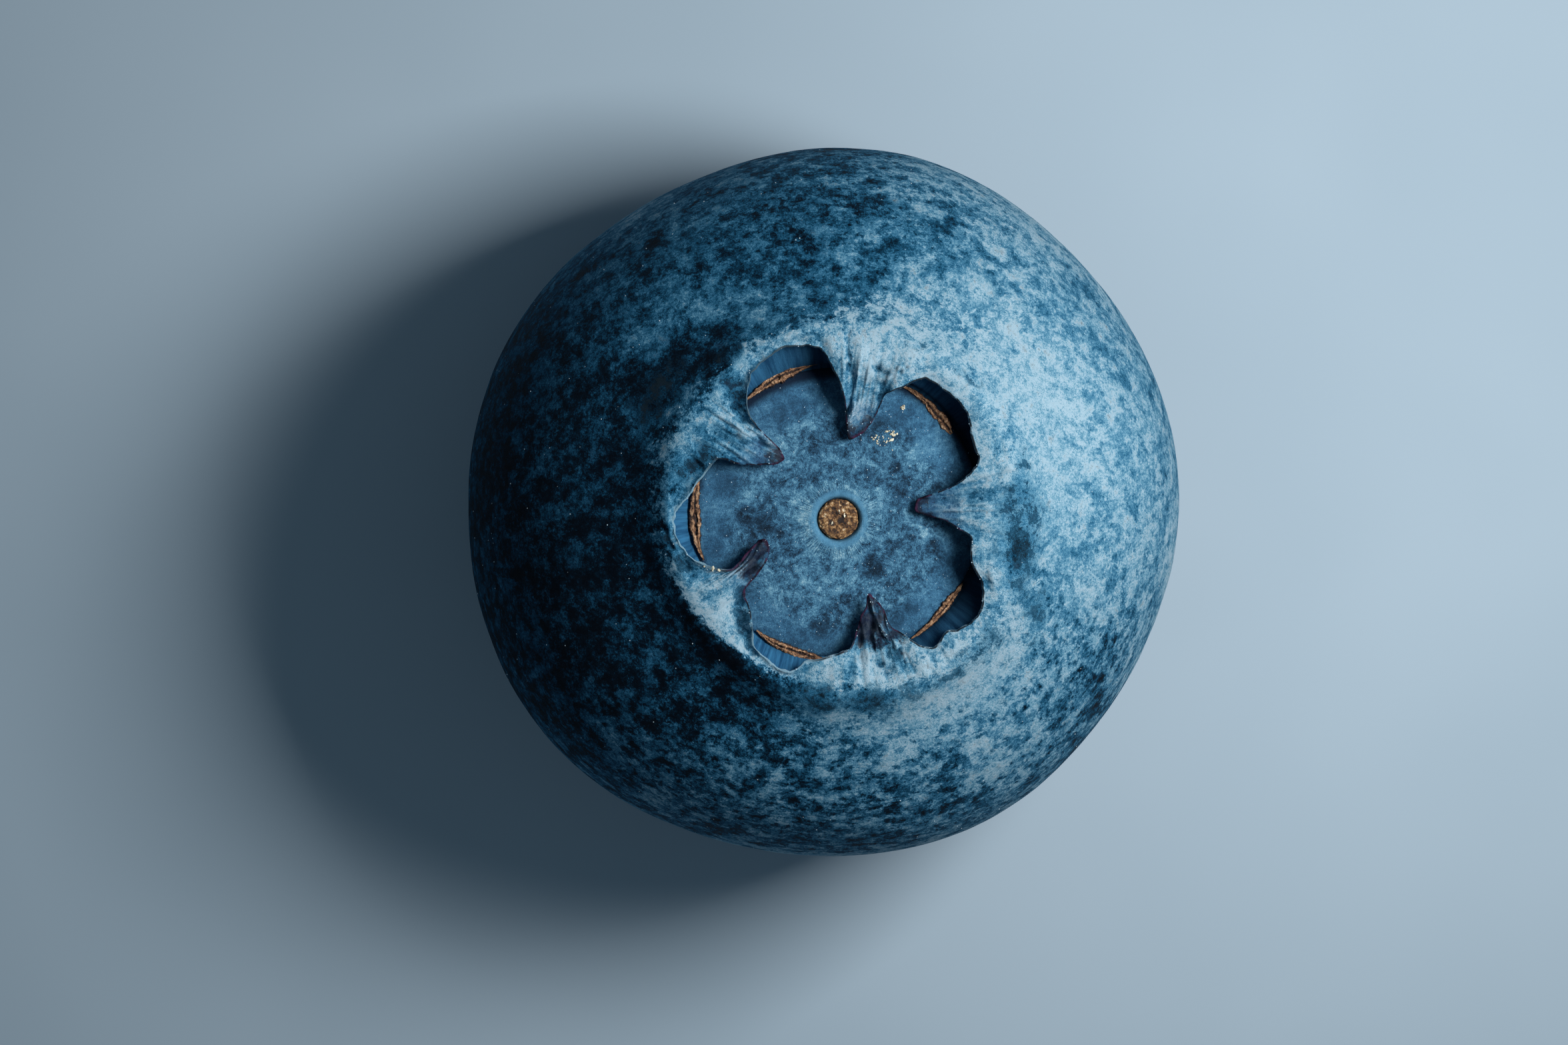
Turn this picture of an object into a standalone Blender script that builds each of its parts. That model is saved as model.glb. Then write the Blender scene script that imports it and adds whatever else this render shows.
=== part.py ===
"""A blueberry as picked, one solid fruit: crown up, resting on the flat that rings its stem scar.

The fruit is a ball of rings. They run from the stem scar up the outside, over the crown's lip and
back down the crown's inner wall to the style scar in the middle of the floor. Each ring is given at
twelve places for each of the five sepals, and a smooth surface is drawn through them all.
"""

import math

import bmesh
import bpy
import numpy as np

MM = 0.001

# Driving sizes, in millimetres. Z is up, and the fruit stands on Z = 0.
FRUIT_RADIUS = 8.0
WAIST_HEIGHT = 5.95
HALF_HEIGHT = 6.1
# How much squarer than an ellipse the fruit's side outline is: 2 would be an ellipse.
FULLNESS = 2.3
SPLINE_SWELL = 1.012
BODY_LATITUDES = (-69, -58, -45, -30, -14, 2, 17, 31, 42, 51)

# The stem scar: a shallow pit in the underside, and the flat round it that the fruit rests on.
STEM_PIT = ((0.0, 0.42), (0.55, 0.40), (0.95, 0.30))
RESTING_FLAT_RADII = (1.35, 1.8, 2.2, 2.6)

# Neither the waist nor the crown is quite round: waves, as (how many, share of the radius, degrees).
WAIST_WAVES = ((5, 0.008, 6), (2, 0.007, 35), (3, 0.005, 75))
CROWN_WAVES = ((1, 0.051, 61), (2, 0.035, 113))

# The crown: a low collar, and a lip that is the edge of five windows between five sepals.
CREST_RADIUS, CREST_HEIGHT = 3.96, 12.06
SLOPE_OUTSIDE_CREST, SLOPE_HEIGHT = 0.26, 11.84
FOOT_OUTSIDE_CREST, FOOT_HEIGHT = 0.62, 11.40
LIP_HEIGHT = 11.96
LIP_THICKNESS = 0.17
LIP_ROUNDING = 0.04
TIP_HEIGHT = 11.44
WALL_LEAST_RADIUS = 3.48
WALL_INSIDE_CREST = 0.24
WALL_TOP_HEIGHT = 11.66
UNDERSIDE_HEIGHT = 11.60

# Each sepal runs from its root on the crown to a tip over the floor: degrees and millimetres.
SEPALS = (
    {"tip": (11.0, 1.66), "roots": (-5.0, 18.0), "root_radius": 2.80, "lift": -0.05},
    {"tip": (81.0, 1.70), "roots": (71.0, 88.5), "root_radius": 2.87, "lift": 0.02},
    {"tip": (134.5, 1.74), "roots": (131.5, 150.7), "root_radius": 2.87, "lift": 0.05},
    {"tip": (196.5, 1.60), "roots": (200.0, 214.5), "root_radius": 2.62, "lift": 0.26},
    {"tip": (292.0, 1.60), "roots": (275.0, 296.5), "root_radius": 2.75, "lift": 0.08},
)
# The lip's radius across the window that follows each sepal, at these shares of its width.
WINDOW_SHARES = (0.12, 0.30, 0.50, 0.70, 0.88)
WINDOWS = (
    (3.42, 3.58, 3.82, 3.80, 3.46),
    (3.74, 4.03, 4.13, 3.98, 3.60),
    (3.16, 3.38, 3.70, 3.76, 3.44),
    (2.80, 3.24, 3.63, 3.28, 3.00),
    (3.44, 3.46, 3.80, 3.40, 3.02),
)
TIP_HALF_WIDTH = 0.15
FLANK_SHARES = (0.16, 0.55)
# How far each of the twelve places of a sector stands above the crown: a ridge along the sepal's
# middle, and a crease on each side of its root.
RIDGE_ACROSS = (0.12, 0.05, -0.02, -0.09, 0.0, 0.03, 0.04, 0.03, 0.0, -0.09, -0.02, 0.05)

# The floor inside the crown. The groove at its edge is a circle set a little to one side.
GROOVE_RADIUS, GROOVE_HEIGHT = 3.18, 11.04
GROOVE_SHIFT, GROOVE_SHIFT_ANGLE = 0.16, 105
WALL_FOOT_OUTSIDE, WALL_FOOT_HEIGHT = 0.14, 11.12
FLOOR_EDGE_INSIDE, FLOOR_EDGE_HEIGHT = 0.28, 11.17
FLOOR = ((2.35, 11.22), (1.60, 11.20), (1.05, 11.17))
STYLE_COLLAR = ((0.66, 11.21), (0.52, 11.22), (0.47, 11.10))
STYLE_SCAR = ((0.43, 11.04), (0.37, 11.13), (0.16, 11.15), (0.0, 11.09))

PLACES = 12
SAMPLES_A_SECTOR = 20
# How many rows of faces lie between each ring and the next, from the stem scar to the style scar.
ROWS_BETWEEN = {"pit": 1, "flat": 1, "body": 2, "crown": 2, "sheet": 2, "inside": 1}

SKIN_COLOUR = (0.07, 0.17, 0.30, 1.0)
SKIN_ROUGHNESS = 0.6


def mix(a, b, share):
    return a + (b - a) * share


def bump(share):
    """1 in the middle of a run and 0 at its ends."""
    return math.sin(math.pi * share)


def sepal_side(sepal, share, side):
    """A place on a sepal's edge: share runs from its tip to its root, side is -1 or 1."""
    tip_angle, tip_radius = sepal["tip"]
    low, high = sepal["roots"]
    radius = mix(tip_radius, sepal["root_radius"], share)
    root_half = math.radians(high - low) / 2 * sepal["root_radius"]
    half = mix(TIP_HALF_WIDTH, root_half, share**1.2)
    middle = mix(tip_angle, (low + high) / 2, share)
    return middle + side * math.degrees(half / radius), radius


def lip_places():
    """The lip's angle, radius and share of the way to a sepal's tip, at every place round the crown."""
    places = []
    for index, sepal in enumerate(SEPALS):
        after = SEPALS[(index + 1) % len(SEPALS)]
        turn = 360 if index == len(SEPALS) - 1 else 0
        start, end = sepal["roots"][1], after["roots"][0] + turn
        places.append((*sepal["tip"], 1.0))
        for share in FLANK_SHARES:
            places.append((*sepal_side(sepal, share, 1), 1 - share))
        places.append((start, sepal["root_radius"], 0.0))
        for share, radius in zip(WINDOW_SHARES, WINDOWS[index]):
            places.append((mix(start, end, share), radius, 0.0))
        places.append((end, after["root_radius"], 0.0))
        for share in reversed(FLANK_SHARES):
            angle, radius = sepal_side(after, share, -1)
            places.append((angle + turn, radius, 1 - share))
    return np.array(places).T


def even_angles():
    """Angles spread evenly from the middle of each sepal's root to the next one's."""
    middles = [sum(sepal["roots"]) / 2 for sepal in SEPALS]
    middles.append(middles[0] + 360)
    return np.concatenate(
        [np.linspace(a, b, PLACES, endpoint=False) for a, b in zip(middles, middles[1:])]
    )


def crown_angles(lip_angles):
    """Angles on the crown's crest: the lip's own beside a window, and spread evenly above a sepal."""
    angles = lip_angles.copy()
    period = len(angles)
    for tip in range(0, period, PLACES):
        low = lip_angles[tip - 3] - (360 if tip == 0 else 0)
        high = lip_angles[tip + 3]
        for step in range(-2, 3):
            turn = 360 if tip + step < 0 else 0
            angles[tip + step] = mix(low, high, (step + 3) / 6) + turn
    return angles


def wave(angles, waves):
    """The share in or out, at each angle, of a ring that isn't quite round."""
    radians = np.radians(angles)
    return sum(size * np.cos(n * (radians - math.radians(at))) for n, size, at in waves)


def ring(radii, heights, angles):
    """One ring of points, from a radius, a height and an angle at every place."""
    radians = np.radians(angles)
    radii = np.broadcast_to(radii, radians.shape)
    heights = np.broadcast_to(heights, radians.shape)
    return np.stack([radii * np.cos(radians), radii * np.sin(radians), heights], axis=1)


def stem_end_rings(even):
    rings = [("pit", ring(radius, height, even)) for radius, height in STEM_PIT]
    return rings + [("flat", ring(radius, 0.0, even)) for radius in RESTING_FLAT_RADII]


def body_rings(even, crest_angles):
    rings = []
    for latitude in BODY_LATITUDES:
        across = math.cos(math.radians(latitude)) ** (2 / FULLNESS)
        up = abs(math.sin(math.radians(latitude))) ** (2 / FULLNESS)
        angles = mix(even, crest_angles, max(0.0, latitude / 90))
        radii = FRUIT_RADIUS * SPLINE_SWELL * across * (1 + wave(angles, WAIST_WAVES) * across)
        height = WAIST_HEIGHT + math.copysign(HALF_HEIGHT * SPLINE_SWELL * up, latitude)
        rings.append(("body", ring(radii, height, angles)))
    return rings


def crown_rings(crest_angles, lip_angles, lip_radii, toward_tip):
    """The crown's outer slope, its crest, the sheet that the sepals are part of, and the lip."""
    ridge = np.tile(RIDGE_ACROSS, len(SEPALS))
    lifts = np.repeat([sepal["lift"] for sepal in SEPALS], PLACES)
    lifts = np.where(np.arange(len(lifts)) % PLACES > PLACES // 2, np.roll(lifts, -PLACES), lifts)
    crest_radii = CREST_RADIUS * (1 + wave(crest_angles, CROWN_WAVES))
    crest = ring(crest_radii, CREST_HEIGHT + 0.45 * ridge, crest_angles)
    lip_heights = mix(LIP_HEIGHT, TIP_HEIGHT, toward_tip**0.8) + lifts * toward_tip**2
    lip_heights = lip_heights + 0.4 * ridge
    lip = ring(lip_radii, lip_heights, lip_angles)
    rings = [
        ("crown", ring(crest_radii + FOOT_OUTSIDE_CREST, FOOT_HEIGHT, crest_angles)),
        ("crown", ring(crest_radii + SLOPE_OUTSIDE_CREST, SLOPE_HEIGHT + 0.3 * ridge, crest_angles)),
        ("sheet", crest),
    ]
    for share in (0.36, 0.74):
        swell = bump(share) * np.minimum(1, crest_radii - lip_radii)
        heights = mix(CREST_HEIGHT + 0.45 * ridge, lip_heights, share) + swell * (0.08 + 0.9 * ridge)
        angles = mix(crest_angles, lip_angles, share**1.5)
        rings.append(("sheet", ring(mix(crest_radii, lip_radii, share), heights, angles)))
    rings.append(("inside", lip))
    along = np.roll(lip, -1, axis=0) - np.roll(lip, 1, axis=0)
    toward_opening = np.stack([-along[:, 1], along[:, 0], 0 * along[:, 0]], axis=1)
    toward_opening /= np.linalg.norm(toward_opening, axis=1)[:, None]
    edge = lip + LIP_ROUNDING * toward_opening - (0, 0, LIP_THICKNESS / 2)
    under = lip - (0, 0, LIP_THICKNESS)
    return rings + [("inside", edge), ("inside", under)]


def wall_rings(even, crest_angles, lip_angles, lip_radii, toward_tip):
    """The crown's inner wall, from the underside of the sepals to the groove at the floor's edge."""
    crest_radii = CREST_RADIUS * (1 + wave(crest_angles, CROWN_WAVES))
    top = np.maximum(crest_radii - WALL_INSIDE_CREST, WALL_LEAST_RADIUS)
    at_sepal = toward_tip > 0
    underside = ring(
        mix(top, lip_radii, np.where(at_sepal, 0.45, 0.3)),
        np.where(at_sepal, UNDERSIDE_HEIGHT - 0.04, WALL_TOP_HEIGHT),
        mix(crest_angles, lip_angles, 0.4),
    )
    groove = GROOVE_RADIUS + GROOVE_SHIFT * np.cos(np.radians(even - GROOVE_SHIFT_ANGLE))
    middle = mix(top, groove + WALL_FOOT_OUTSIDE, 0.5)
    middle_height = mix(WALL_TOP_HEIGHT, GROOVE_HEIGHT, 0.4)
    return [
        ("inside", underside),
        ("inside", ring(middle, middle_height, mix(crest_angles, even, 0.5))),
        ("inside", ring(groove + WALL_FOOT_OUTSIDE, WALL_FOOT_HEIGHT, even)),
        ("inside", ring(groove, GROOVE_HEIGHT, even)),
        ("inside", ring(groove - FLOOR_EDGE_INSIDE, FLOOR_EDGE_HEIGHT, even)),
    ]


def floor_rings(even):
    places = (*FLOOR, *STYLE_COLLAR, *STYLE_SCAR)
    return [("inside", ring(radius, height, even)) for radius, height in places]


def fruit_rings():
    """Every ring of the fruit in order, and the name of the stretch that each begins."""
    even = even_angles()
    lip_angles, lip_radii, toward_tip = lip_places()
    crest_angles = crown_angles(lip_angles)
    named = (
        stem_end_rings(even)
        + body_rings(even, crest_angles)
        + crown_rings(crest_angles, lip_angles, lip_radii, toward_tip)
        + wall_rings(even, crest_angles, lip_angles, lip_radii, toward_tip)
        + floor_rings(even)
    )
    return [name for name, _ in named], np.array([points for _, points in named])


def spline_weights(places, count):
    """The weights of a uniform cubic spline's control points, a row for each place along it."""
    whole = np.minimum(np.floor(places).astype(int), count - 4)
    t = places - whole
    shares = np.array([(1 - t) ** 3, 3 * t**3 - 6 * t**2 + 4, -3 * t**3 + 3 * t**2 + 3 * t + 1, t**3])
    weights = np.zeros((len(places), count))
    for offset, share in enumerate(shares / 6):
        weights[np.arange(len(places)), whole + offset] = share
    return weights


def fruit_points():
    """Points of the fruit's surface in rows, from the stem scar's middle to the style scar's."""
    names, rings = fruit_rings()
    # Past each pole the rings come back on the axis's other side, so the surface is smooth there.
    across = np.array((-1, -1, 1))
    rings = np.concatenate([rings[1:2] * across, rings, rings[-2:-1] * across])
    rings = np.concatenate([rings[:, -1:], rings, rings[:, :2]], axis=1)
    rows = [
        place + step / ROWS_BETWEEN[name]
        for place, name in enumerate(names[:-1])
        for step in range(ROWS_BETWEEN[name])
    ]
    rows.append(len(names) - 1)
    columns = np.arange(SAMPLES_A_SECTOR * len(SEPALS)) * PLACES / SAMPLES_A_SECTOR
    down = spline_weights(np.array(rows, float), rings.shape[0])
    round_ = spline_weights(columns, rings.shape[1])
    return np.einsum("ri,cj,ijk->rck", down, round_, rings)


def standing_on_origin(points):
    """The points moved sideways, so that their box is centred on the Z axis."""
    low, high = points.min((0, 1)), points.max((0, 1))
    return points - ((low[0] + high[0]) / 2, (low[1] + high[1]) / 2, 0)


def skin_material():
    material = bpy.data.materials.new("blueberry_skin")
    material.use_nodes = True
    shader = material.node_tree.nodes["Principled BSDF"]
    shader.inputs["Base Color"].default_value = SKIN_COLOUR
    shader.inputs["Roughness"].default_value = SKIN_ROUGHNESS
    shader.inputs["Metallic"].default_value = 0.0
    return material


def make_berry(collection):
    """The whole fruit: a ball whose rows of vertices are moved to the rows of the fruit's surface."""
    points = standing_on_origin(fruit_points()) * MM
    rows, columns = points.shape[:2]
    ball = bmesh.new()
    bmesh.ops.create_uvsphere(ball, u_segments=columns, v_segments=rows - 1, radius=1)
    for vertex in ball.verts:
        x, y, z = vertex.co
        row = round((1 - math.acos(max(-1.0, min(1.0, z))) / math.pi) * (rows - 1))
        column = round(math.atan2(y, x) / math.tau * columns) % columns
        vertex.co = points[row, column]
    mesh = bpy.data.meshes.new("berry")
    ball.to_mesh(mesh)
    ball.free()
    mesh.materials.append(skin_material())
    mesh.shade_smooth()
    berry = bpy.data.objects.new("berry", mesh)
    collection.objects.link(berry)
    return berry


def main():
    for leftover in list(bpy.data.objects):
        bpy.data.objects.remove(leftover)
    collection = bpy.data.collections.new("blueberry")
    bpy.context.scene.collection.children.link(collection)
    make_berry(collection)


main()
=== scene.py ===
"""The finish of a ripe blueberry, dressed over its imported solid.

The skin with its waxy bloom is one closed piece with the torn lip and the five sepals of the crown.
Inside the crown lie the floral disc, the style scar and five papery stamen scars, and underneath is
the corky stem scar. Lengths are in millimetres until a mesh is made, with the style at x = y = 0.
"""

import math
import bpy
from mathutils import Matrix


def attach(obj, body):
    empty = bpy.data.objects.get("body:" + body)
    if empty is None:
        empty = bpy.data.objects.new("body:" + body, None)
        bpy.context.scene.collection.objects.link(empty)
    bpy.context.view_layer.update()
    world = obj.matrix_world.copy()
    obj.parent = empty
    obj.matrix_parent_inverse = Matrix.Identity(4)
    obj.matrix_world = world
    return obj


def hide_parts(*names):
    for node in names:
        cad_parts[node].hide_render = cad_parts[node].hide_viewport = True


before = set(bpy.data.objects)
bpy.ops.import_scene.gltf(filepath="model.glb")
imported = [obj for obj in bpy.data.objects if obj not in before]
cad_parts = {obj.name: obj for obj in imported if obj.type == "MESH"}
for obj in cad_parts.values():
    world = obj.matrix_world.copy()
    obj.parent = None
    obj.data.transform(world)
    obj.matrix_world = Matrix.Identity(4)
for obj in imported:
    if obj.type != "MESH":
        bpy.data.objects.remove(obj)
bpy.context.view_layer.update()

from types import SimpleNamespace

import bpy
import numpy as np
from mathutils import Matrix, Vector

MM = 0.001

# The fruit's sizes, the same as the solid's.

FRUIT_RADIUS = 8.0
WAIST_HEIGHT = 5.95
HALF_HEIGHT = 6.1
FULLNESS = 2.3
SPLINE_SWELL = 1.012
BODY_LATITUDES = (-69, -58, -45, -30, -14, 2, 17, 31, 42, 51)
STEM_PIT = ((0.0, 0.42), (0.55, 0.40), (0.95, 0.30))
RESTING_FLAT_RADII = (1.35, 1.8, 2.2, 2.6)
WAIST_WAVES = ((5, 0.008, 6), (2, 0.007, 35), (3, 0.005, 75))
CROWN_WAVES = ((1, 0.051, 61), (2, 0.035, 113))
CREST_RADIUS, CREST_HEIGHT = 3.96, 12.06
SLOPE_OUTSIDE_CREST, SLOPE_HEIGHT = 0.26, 11.84
FOOT_OUTSIDE_CREST, FOOT_HEIGHT = 0.62, 11.40
LIP_HEIGHT, TIP_HEIGHT = 11.97, 11.42
GROOVE_RADIUS, GROOVE_HEIGHT = 3.18, 11.03
GROOVE_SHIFT, GROOVE_SHIFT_ANGLE = 0.16, 105
FLOOR = ((2.35, 11.22), (1.60, 11.20), (1.05, 11.17))
STYLE_COLLAR = ((0.66, 11.21), (0.52, 11.22), (0.47, 11.10))
STYLE_RADIUS = 0.45

# The crown's lip seen from above, in degrees and millimetres from the style. It runs along a sepal,
# then along the window that follows it, five times round.
LIP = (
    ("sepal", (
        (-6, 2.87), (-4, 2.65), (0, 2.35), (3, 1.95), (6.5, 1.7), (14, 1.76), (16, 2.35), (17, 2.65)
    )),
    ("window", (
        (18, 2.79), (20, 3.01), (22, 3.23), (25, 3.37), (31, 3.41), (37, 3.57), (41, 3.68), (45, 3.72),
        (55, 3.69), (60, 3.68), (62, 3.53), (66, 3.23), (69, 3.09), (70.6, 2.98)
    )),
    ("sepal", (
        (71, 2.62), (72, 2.28), (75, 2.02), (79, 1.87), (83, 1.79), (85.5, 2.08), (86.5, 2.4), (88, 2.7)
    )),
    ("window", (
        (89.6, 2.94), (91, 3.16), (93, 3.38), (95, 3.68), (96.5, 3.85), (100, 3.94), (105, 4.0),
        (108, 4.06), (112, 4.01), (117, 3.91), (121, 3.85), (126, 3.53), (129, 3.31), (131, 3.08)
    )),
    ("sepal", (
        (131.6, 2.75), (130.8, 2.35), (130.2, 2.06), (132, 1.83), (138, 1.86), (142, 2.06), (146, 2.23),
        (149, 2.43), (150.6, 2.65)
    )),
    ("window", (
        (151, 2.88), (152.5, 3.06), (156, 3.13), (160, 3.2), (165, 3.29), (169, 3.38), (173, 3.53),
        (176, 3.65), (180, 3.69), (184, 3.68), (188, 3.57), (192, 3.45), (195, 3.31), (198, 3.12),
        (201, 2.92), (203.4, 2.74)
    )),
    ("sepal", (
        (204.4, 2.58), (203.2, 2.42), (200.6, 2.22), (197.4, 2.02), (194.5, 1.84), (194, 1.7), (200, 1.67),
        (205, 1.76), (209, 1.92), (212, 2.16), (213.6, 2.38)
    )),
    ("window", (
        (214.6, 2.6), (218, 2.69), (222, 2.76), (226, 2.87), (229, 3.01), (232, 3.16), (234, 3.31),
        (238, 3.41), (243, 3.48), (247, 3.53), (251, 3.51), (253.5, 3.38), (255.5, 3.2), (259, 3.12),
        (262, 3.07), (266, 2.98), (270, 2.9), (274, 2.86)
    )),
    ("sepal", (
        (276, 2.72), (278, 2.53), (280.5, 2.35), (283, 2.16), (287, 2.02), (291.5, 1.72), (294, 1.93),
        (296, 2.16), (295, 2.43), (295.6, 2.62)
    )),
    ("window", (
        (298, 2.8), (300, 3.02), (302, 3.23), (304, 3.41), (306, 3.48), (309, 3.47), (312, 3.38),
        (314, 3.38), (317, 3.53), (321, 3.62), (325, 3.68), (329, 3.65), (333, 3.53), (337, 3.38),
        (340, 3.16), (343, 3.01), (348, 2.94), (352, 2.94)
    )),
)
LIP_SOFTNESS, CREST_SOFTNESS = 0.035, 0.22
# Small nicks all along the lip, as (columns across one, share of the radius).
LIP_NICKS = ((1.4, 0.0024), (4.0, 0.0016))
# How much each sepal's tip is lifted off the floor, as (degrees, millimetres).
TIP_LIFTS = ((11, -0.02), (81, 0.02), (134.5, 0.10), (200, 0.20), (292, 0.10))

# The lip's heights go up and down by this much, over this many columns.
LIP_WAVE_HEIGHT, LIP_WAVE_WIDTHS = 0.012, (3, 12)
# The rounded edge of the lip, as (how far into the opening, share of its thickness down).
LIP_EDGE = ((0.024, 0.18), (0.030, 0.55), (0.012, 0.92))
LIP_THICKNESS = 0.085
SEPAL_FOOT_RADIUS, SEPAL_TIP_RADIUS = 2.92, 1.72
SHEET_BULGE, RIM_WIDTH, WALL_RADIUS = 0.07, 0.09, 3.36
# On the crown's left the lip stands up as a thin fin, with a valley between it and the collar. These
# are the degrees over which the fin begins and ends.
FIN_START, FIN_END, VALLEY_DEPTH = (92, 108), (252, 264), 0.15

# How many rows and columns of points each part has. The body has a third of the columns.
COLUMNS, COARSE_STEP = 960, 3
STEM_ROWS, BODY_ROWS, SLOPE_ROWS, SHEET_ROWS, UNDERSIDE_ROWS, WALL_ROWS = 14, 62, 23, 27, 7, 13
# The underside lies below everything within this many rows, so that no furrow cuts through it.
UNDERSIDE_REACH = 3
RELAXING = 300


# Numbers and curves


def mix(first, second, share):
    return first + (second - first) * share


def smooth_step(value, low, high):
    share = np.clip((value - low) / (high - low), 0.0, 1.0)
    return share * share * (3 - 2 * share)


def wave(angles, waves):
    """The share in or out, at each angle in degrees, of a ring that isn't quite round."""
    radians = np.radians(angles)
    return sum(size * np.cos(n * (radians - math.radians(at))) for n, size, at in waves)


def softened(values, width):
    """Values round a closed ring, evened out over this many places."""
    places = len(values)
    share = np.exp(-2 * (math.pi * width * np.fft.rfftfreq(places)) ** 2)
    share = share.reshape((-1,) + (1,) * (values.ndim - 1))
    return np.fft.irfft(np.fft.rfft(values, axis=0) * share, places, axis=0)


def ragged(places, width, seed):
    """Random ups and downs round a closed ring, about 1 high and this many places long."""
    noise = softened(np.random.default_rng(seed).standard_normal(places), width)
    return noise / noise.std()


def ring(radii, heights, angles):
    """One ring of points, from a radius, a height and an angle in degrees at every place."""
    radians = np.radians(angles)
    radii = np.broadcast_to(radii, radians.shape)
    heights = np.broadcast_to(heights, radians.shape)
    return np.stack([radii * np.cos(radians), radii * np.sin(radians), heights], axis=1)


def spline_rows(rings, places):
    """Rows of a uniform cubic spline through the rings, at these places along them."""
    places = np.asarray(places, float)
    whole = np.clip(np.floor(places).astype(int), 0, len(rings) - 4)
    t = places - whole
    shares = np.array([(1 - t) ** 3, 3 * t**3 - 6 * t**2 + 4, -3 * t**3 + 3 * t**2 + 3 * t + 1, t**3])
    return sum(share[:, None, None] / 6 * rings[whole + step] for step, share in enumerate(shares))


def radius_of(points):
    return np.hypot(points[..., 0], points[..., 1])


def angle_of(points):
    return np.degrees(np.arctan2(points[..., 1], points[..., 0]))


# The crown

# Folds of the sepals and of the collar round them. Each is a rib, or a furrow where its height is
# negative, from one place to another: (x, y), (x, y), half its width, its height.
FOLDS = (
    # the top sepal
    ((0.58, 3.7), (0.44, 2.1), 0.15, 0.12), ((0.3, 3.45), (0.18, 2.2), 0.05, -0.1),
    ((0.15, 4.15), (0.3, 3.45), 0.05, -0.07), ((0.98, 3.3), (0.66, 2.2), 0.12, -0.2),
    ((1.17, 3.36), (1.38, 3.38), 0.05, 0.08), ((1.15, 3.22), (1.36, 3.26), 0.04, -0.09),
    # the upper left sepal
    ((-2.45, 2.1), (-1.3, 1.54), 0.07, 0.07), ((-2.5, 1.86), (-1.4, 1.4), 0.055, -0.08),
    ((-2.5, 1.62), (-1.5, 1.28), 0.05, 0.05), ((-2.05, 2.05), (-1.58, 1.72), 0.045, -0.05),
    ((-3.34, 1.14), (-3.02, 1.48), 0.22, -0.12), ((-1.33, 1.42), (-1.26, 1.36), 0.06, 0.09),
    # the right sepal
    ((3.15, 0.98), (2.0, 0.55), 0.08, 0.04), ((2.95, 0.72), (2.2, 0.5), 0.06, -0.05),
    ((3.25, 0.28), (2.15, 0.32), 0.09, 0.05), ((1.9, 0.18), (2.7, -0.12), 0.1, -0.12),
    ((2.7, 1.18), (2.15, 0.66), 0.04, -0.06), ((3.0, 1.24), (2.35, 0.78), 0.05, 0.05),
    # the lower left sepal, curled up along both its edges
    ((-2.25, -1.32), (-1.72, -0.56), 0.1, -0.2), ((-2.28, -1.05), (-1.78, -0.45), 0.05, 0.08),
    ((-1.98, -1.38), (-1.62, -0.62), 0.05, 0.11), ((-3.9, -0.12), (-3.7, -0.66), 0.075, -0.14),
    ((-3.7, -0.66), (-3.28, -1.06), 0.075, -0.14),
    # the bottom sepal
    ((0.72, -1.95), (0.8, -2.9), 0.06, -0.15), ((0.8, -1.8), (0.93, -2.35), 0.05, 0.13),
    ((0.93, -2.35), (1.14, -2.98), 0.06, 0.11), ((0.9, -2.1), (0.96, -2.95), 0.04, -0.07),
    ((0.6, -2.1), (0.62, -2.95), 0.045, 0.06), ((0.5, -2.2), (0.48, -3.0), 0.06, -0.11),
    ((0.36, -2.45), (0.3, -3.0), 0.05, 0.05), ((0.86, -2.95), (1.0, -3.25), 0.15, -0.12),
    ((1.2, -2.7), (1.42, -3.02), 0.05, -0.04),
    # the rolled rim of the lower right window, and the furrow outside it
    ((3.42, -0.45), (3.52, -1.5), 0.11, 0.05), ((3.84, 0.35), (3.76, -1.2), 0.1, -0.06),
    # hollows of the collar outside the lip
    ((-2.32, 3.05), (-2.16, 2.35), 0.15, -0.12), ((-2.32, -1.5), (-2.16, -2.05), 0.15, -0.12),
    ((-2.16, -2.05), (-1.99, -2.75), 0.11, -0.11), ((3.55, 0.95), (4.15, 1.25), 0.09, 0.05),
    ((3.55, 0.55), (4.2, 0.62), 0.08, -0.05),
)


def lip_outline():
    """The lip at every column: its points seen from above, and the angle of the crest outside it."""
    places = np.array([place for _, run in LIP for place in run], float)
    windows = np.array([kind == "window" for kind, run in LIP for _ in run])
    outline = ring(places[:, 1], 0.0, places[:, 0])[:, :2]
    closed = np.vstack([outline, outline[:1]])
    lengths = np.concatenate([[0.0], np.cumsum(np.linalg.norm(np.diff(closed, axis=0), axis=1))])
    at = np.linspace(0, lengths[-1], COLUMNS, endpoint=False)
    lip = np.stack([np.interp(at, lengths, closed[:, axis]) for axis in (0, 1)], axis=1)
    spacing = lengths[-1] / COLUMNS
    lip = softened(lip, LIP_SOFTNESS / spacing)
    for seed, (width, share) in enumerate(LIP_NICKS):
        lip = lip * (1 + share * ragged(COLUMNS, width, 71 + seed)[:, None])
    known, angles = lengths[:-1][windows], places[windows, 0]
    known = np.concatenate([known[-1:] - lengths[-1], known, known[:1] + lengths[-1]])
    angles = np.concatenate([angles[-1:] - 360, angles, angles[:1] + 360])
    ramp = np.linspace(0, 360, COLUMNS, endpoint=False)
    crest = np.interp(at, known, angles) - ramp
    return lip, softened(crest, CREST_SOFTNESS / spacing) + ramp


# The folds bend in waves this long, by this share of the length.
FOLD_BENDS, FOLD_BEND_SHARE = (1.3, 0.8, 0.5, 0.34), 0.07


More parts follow.
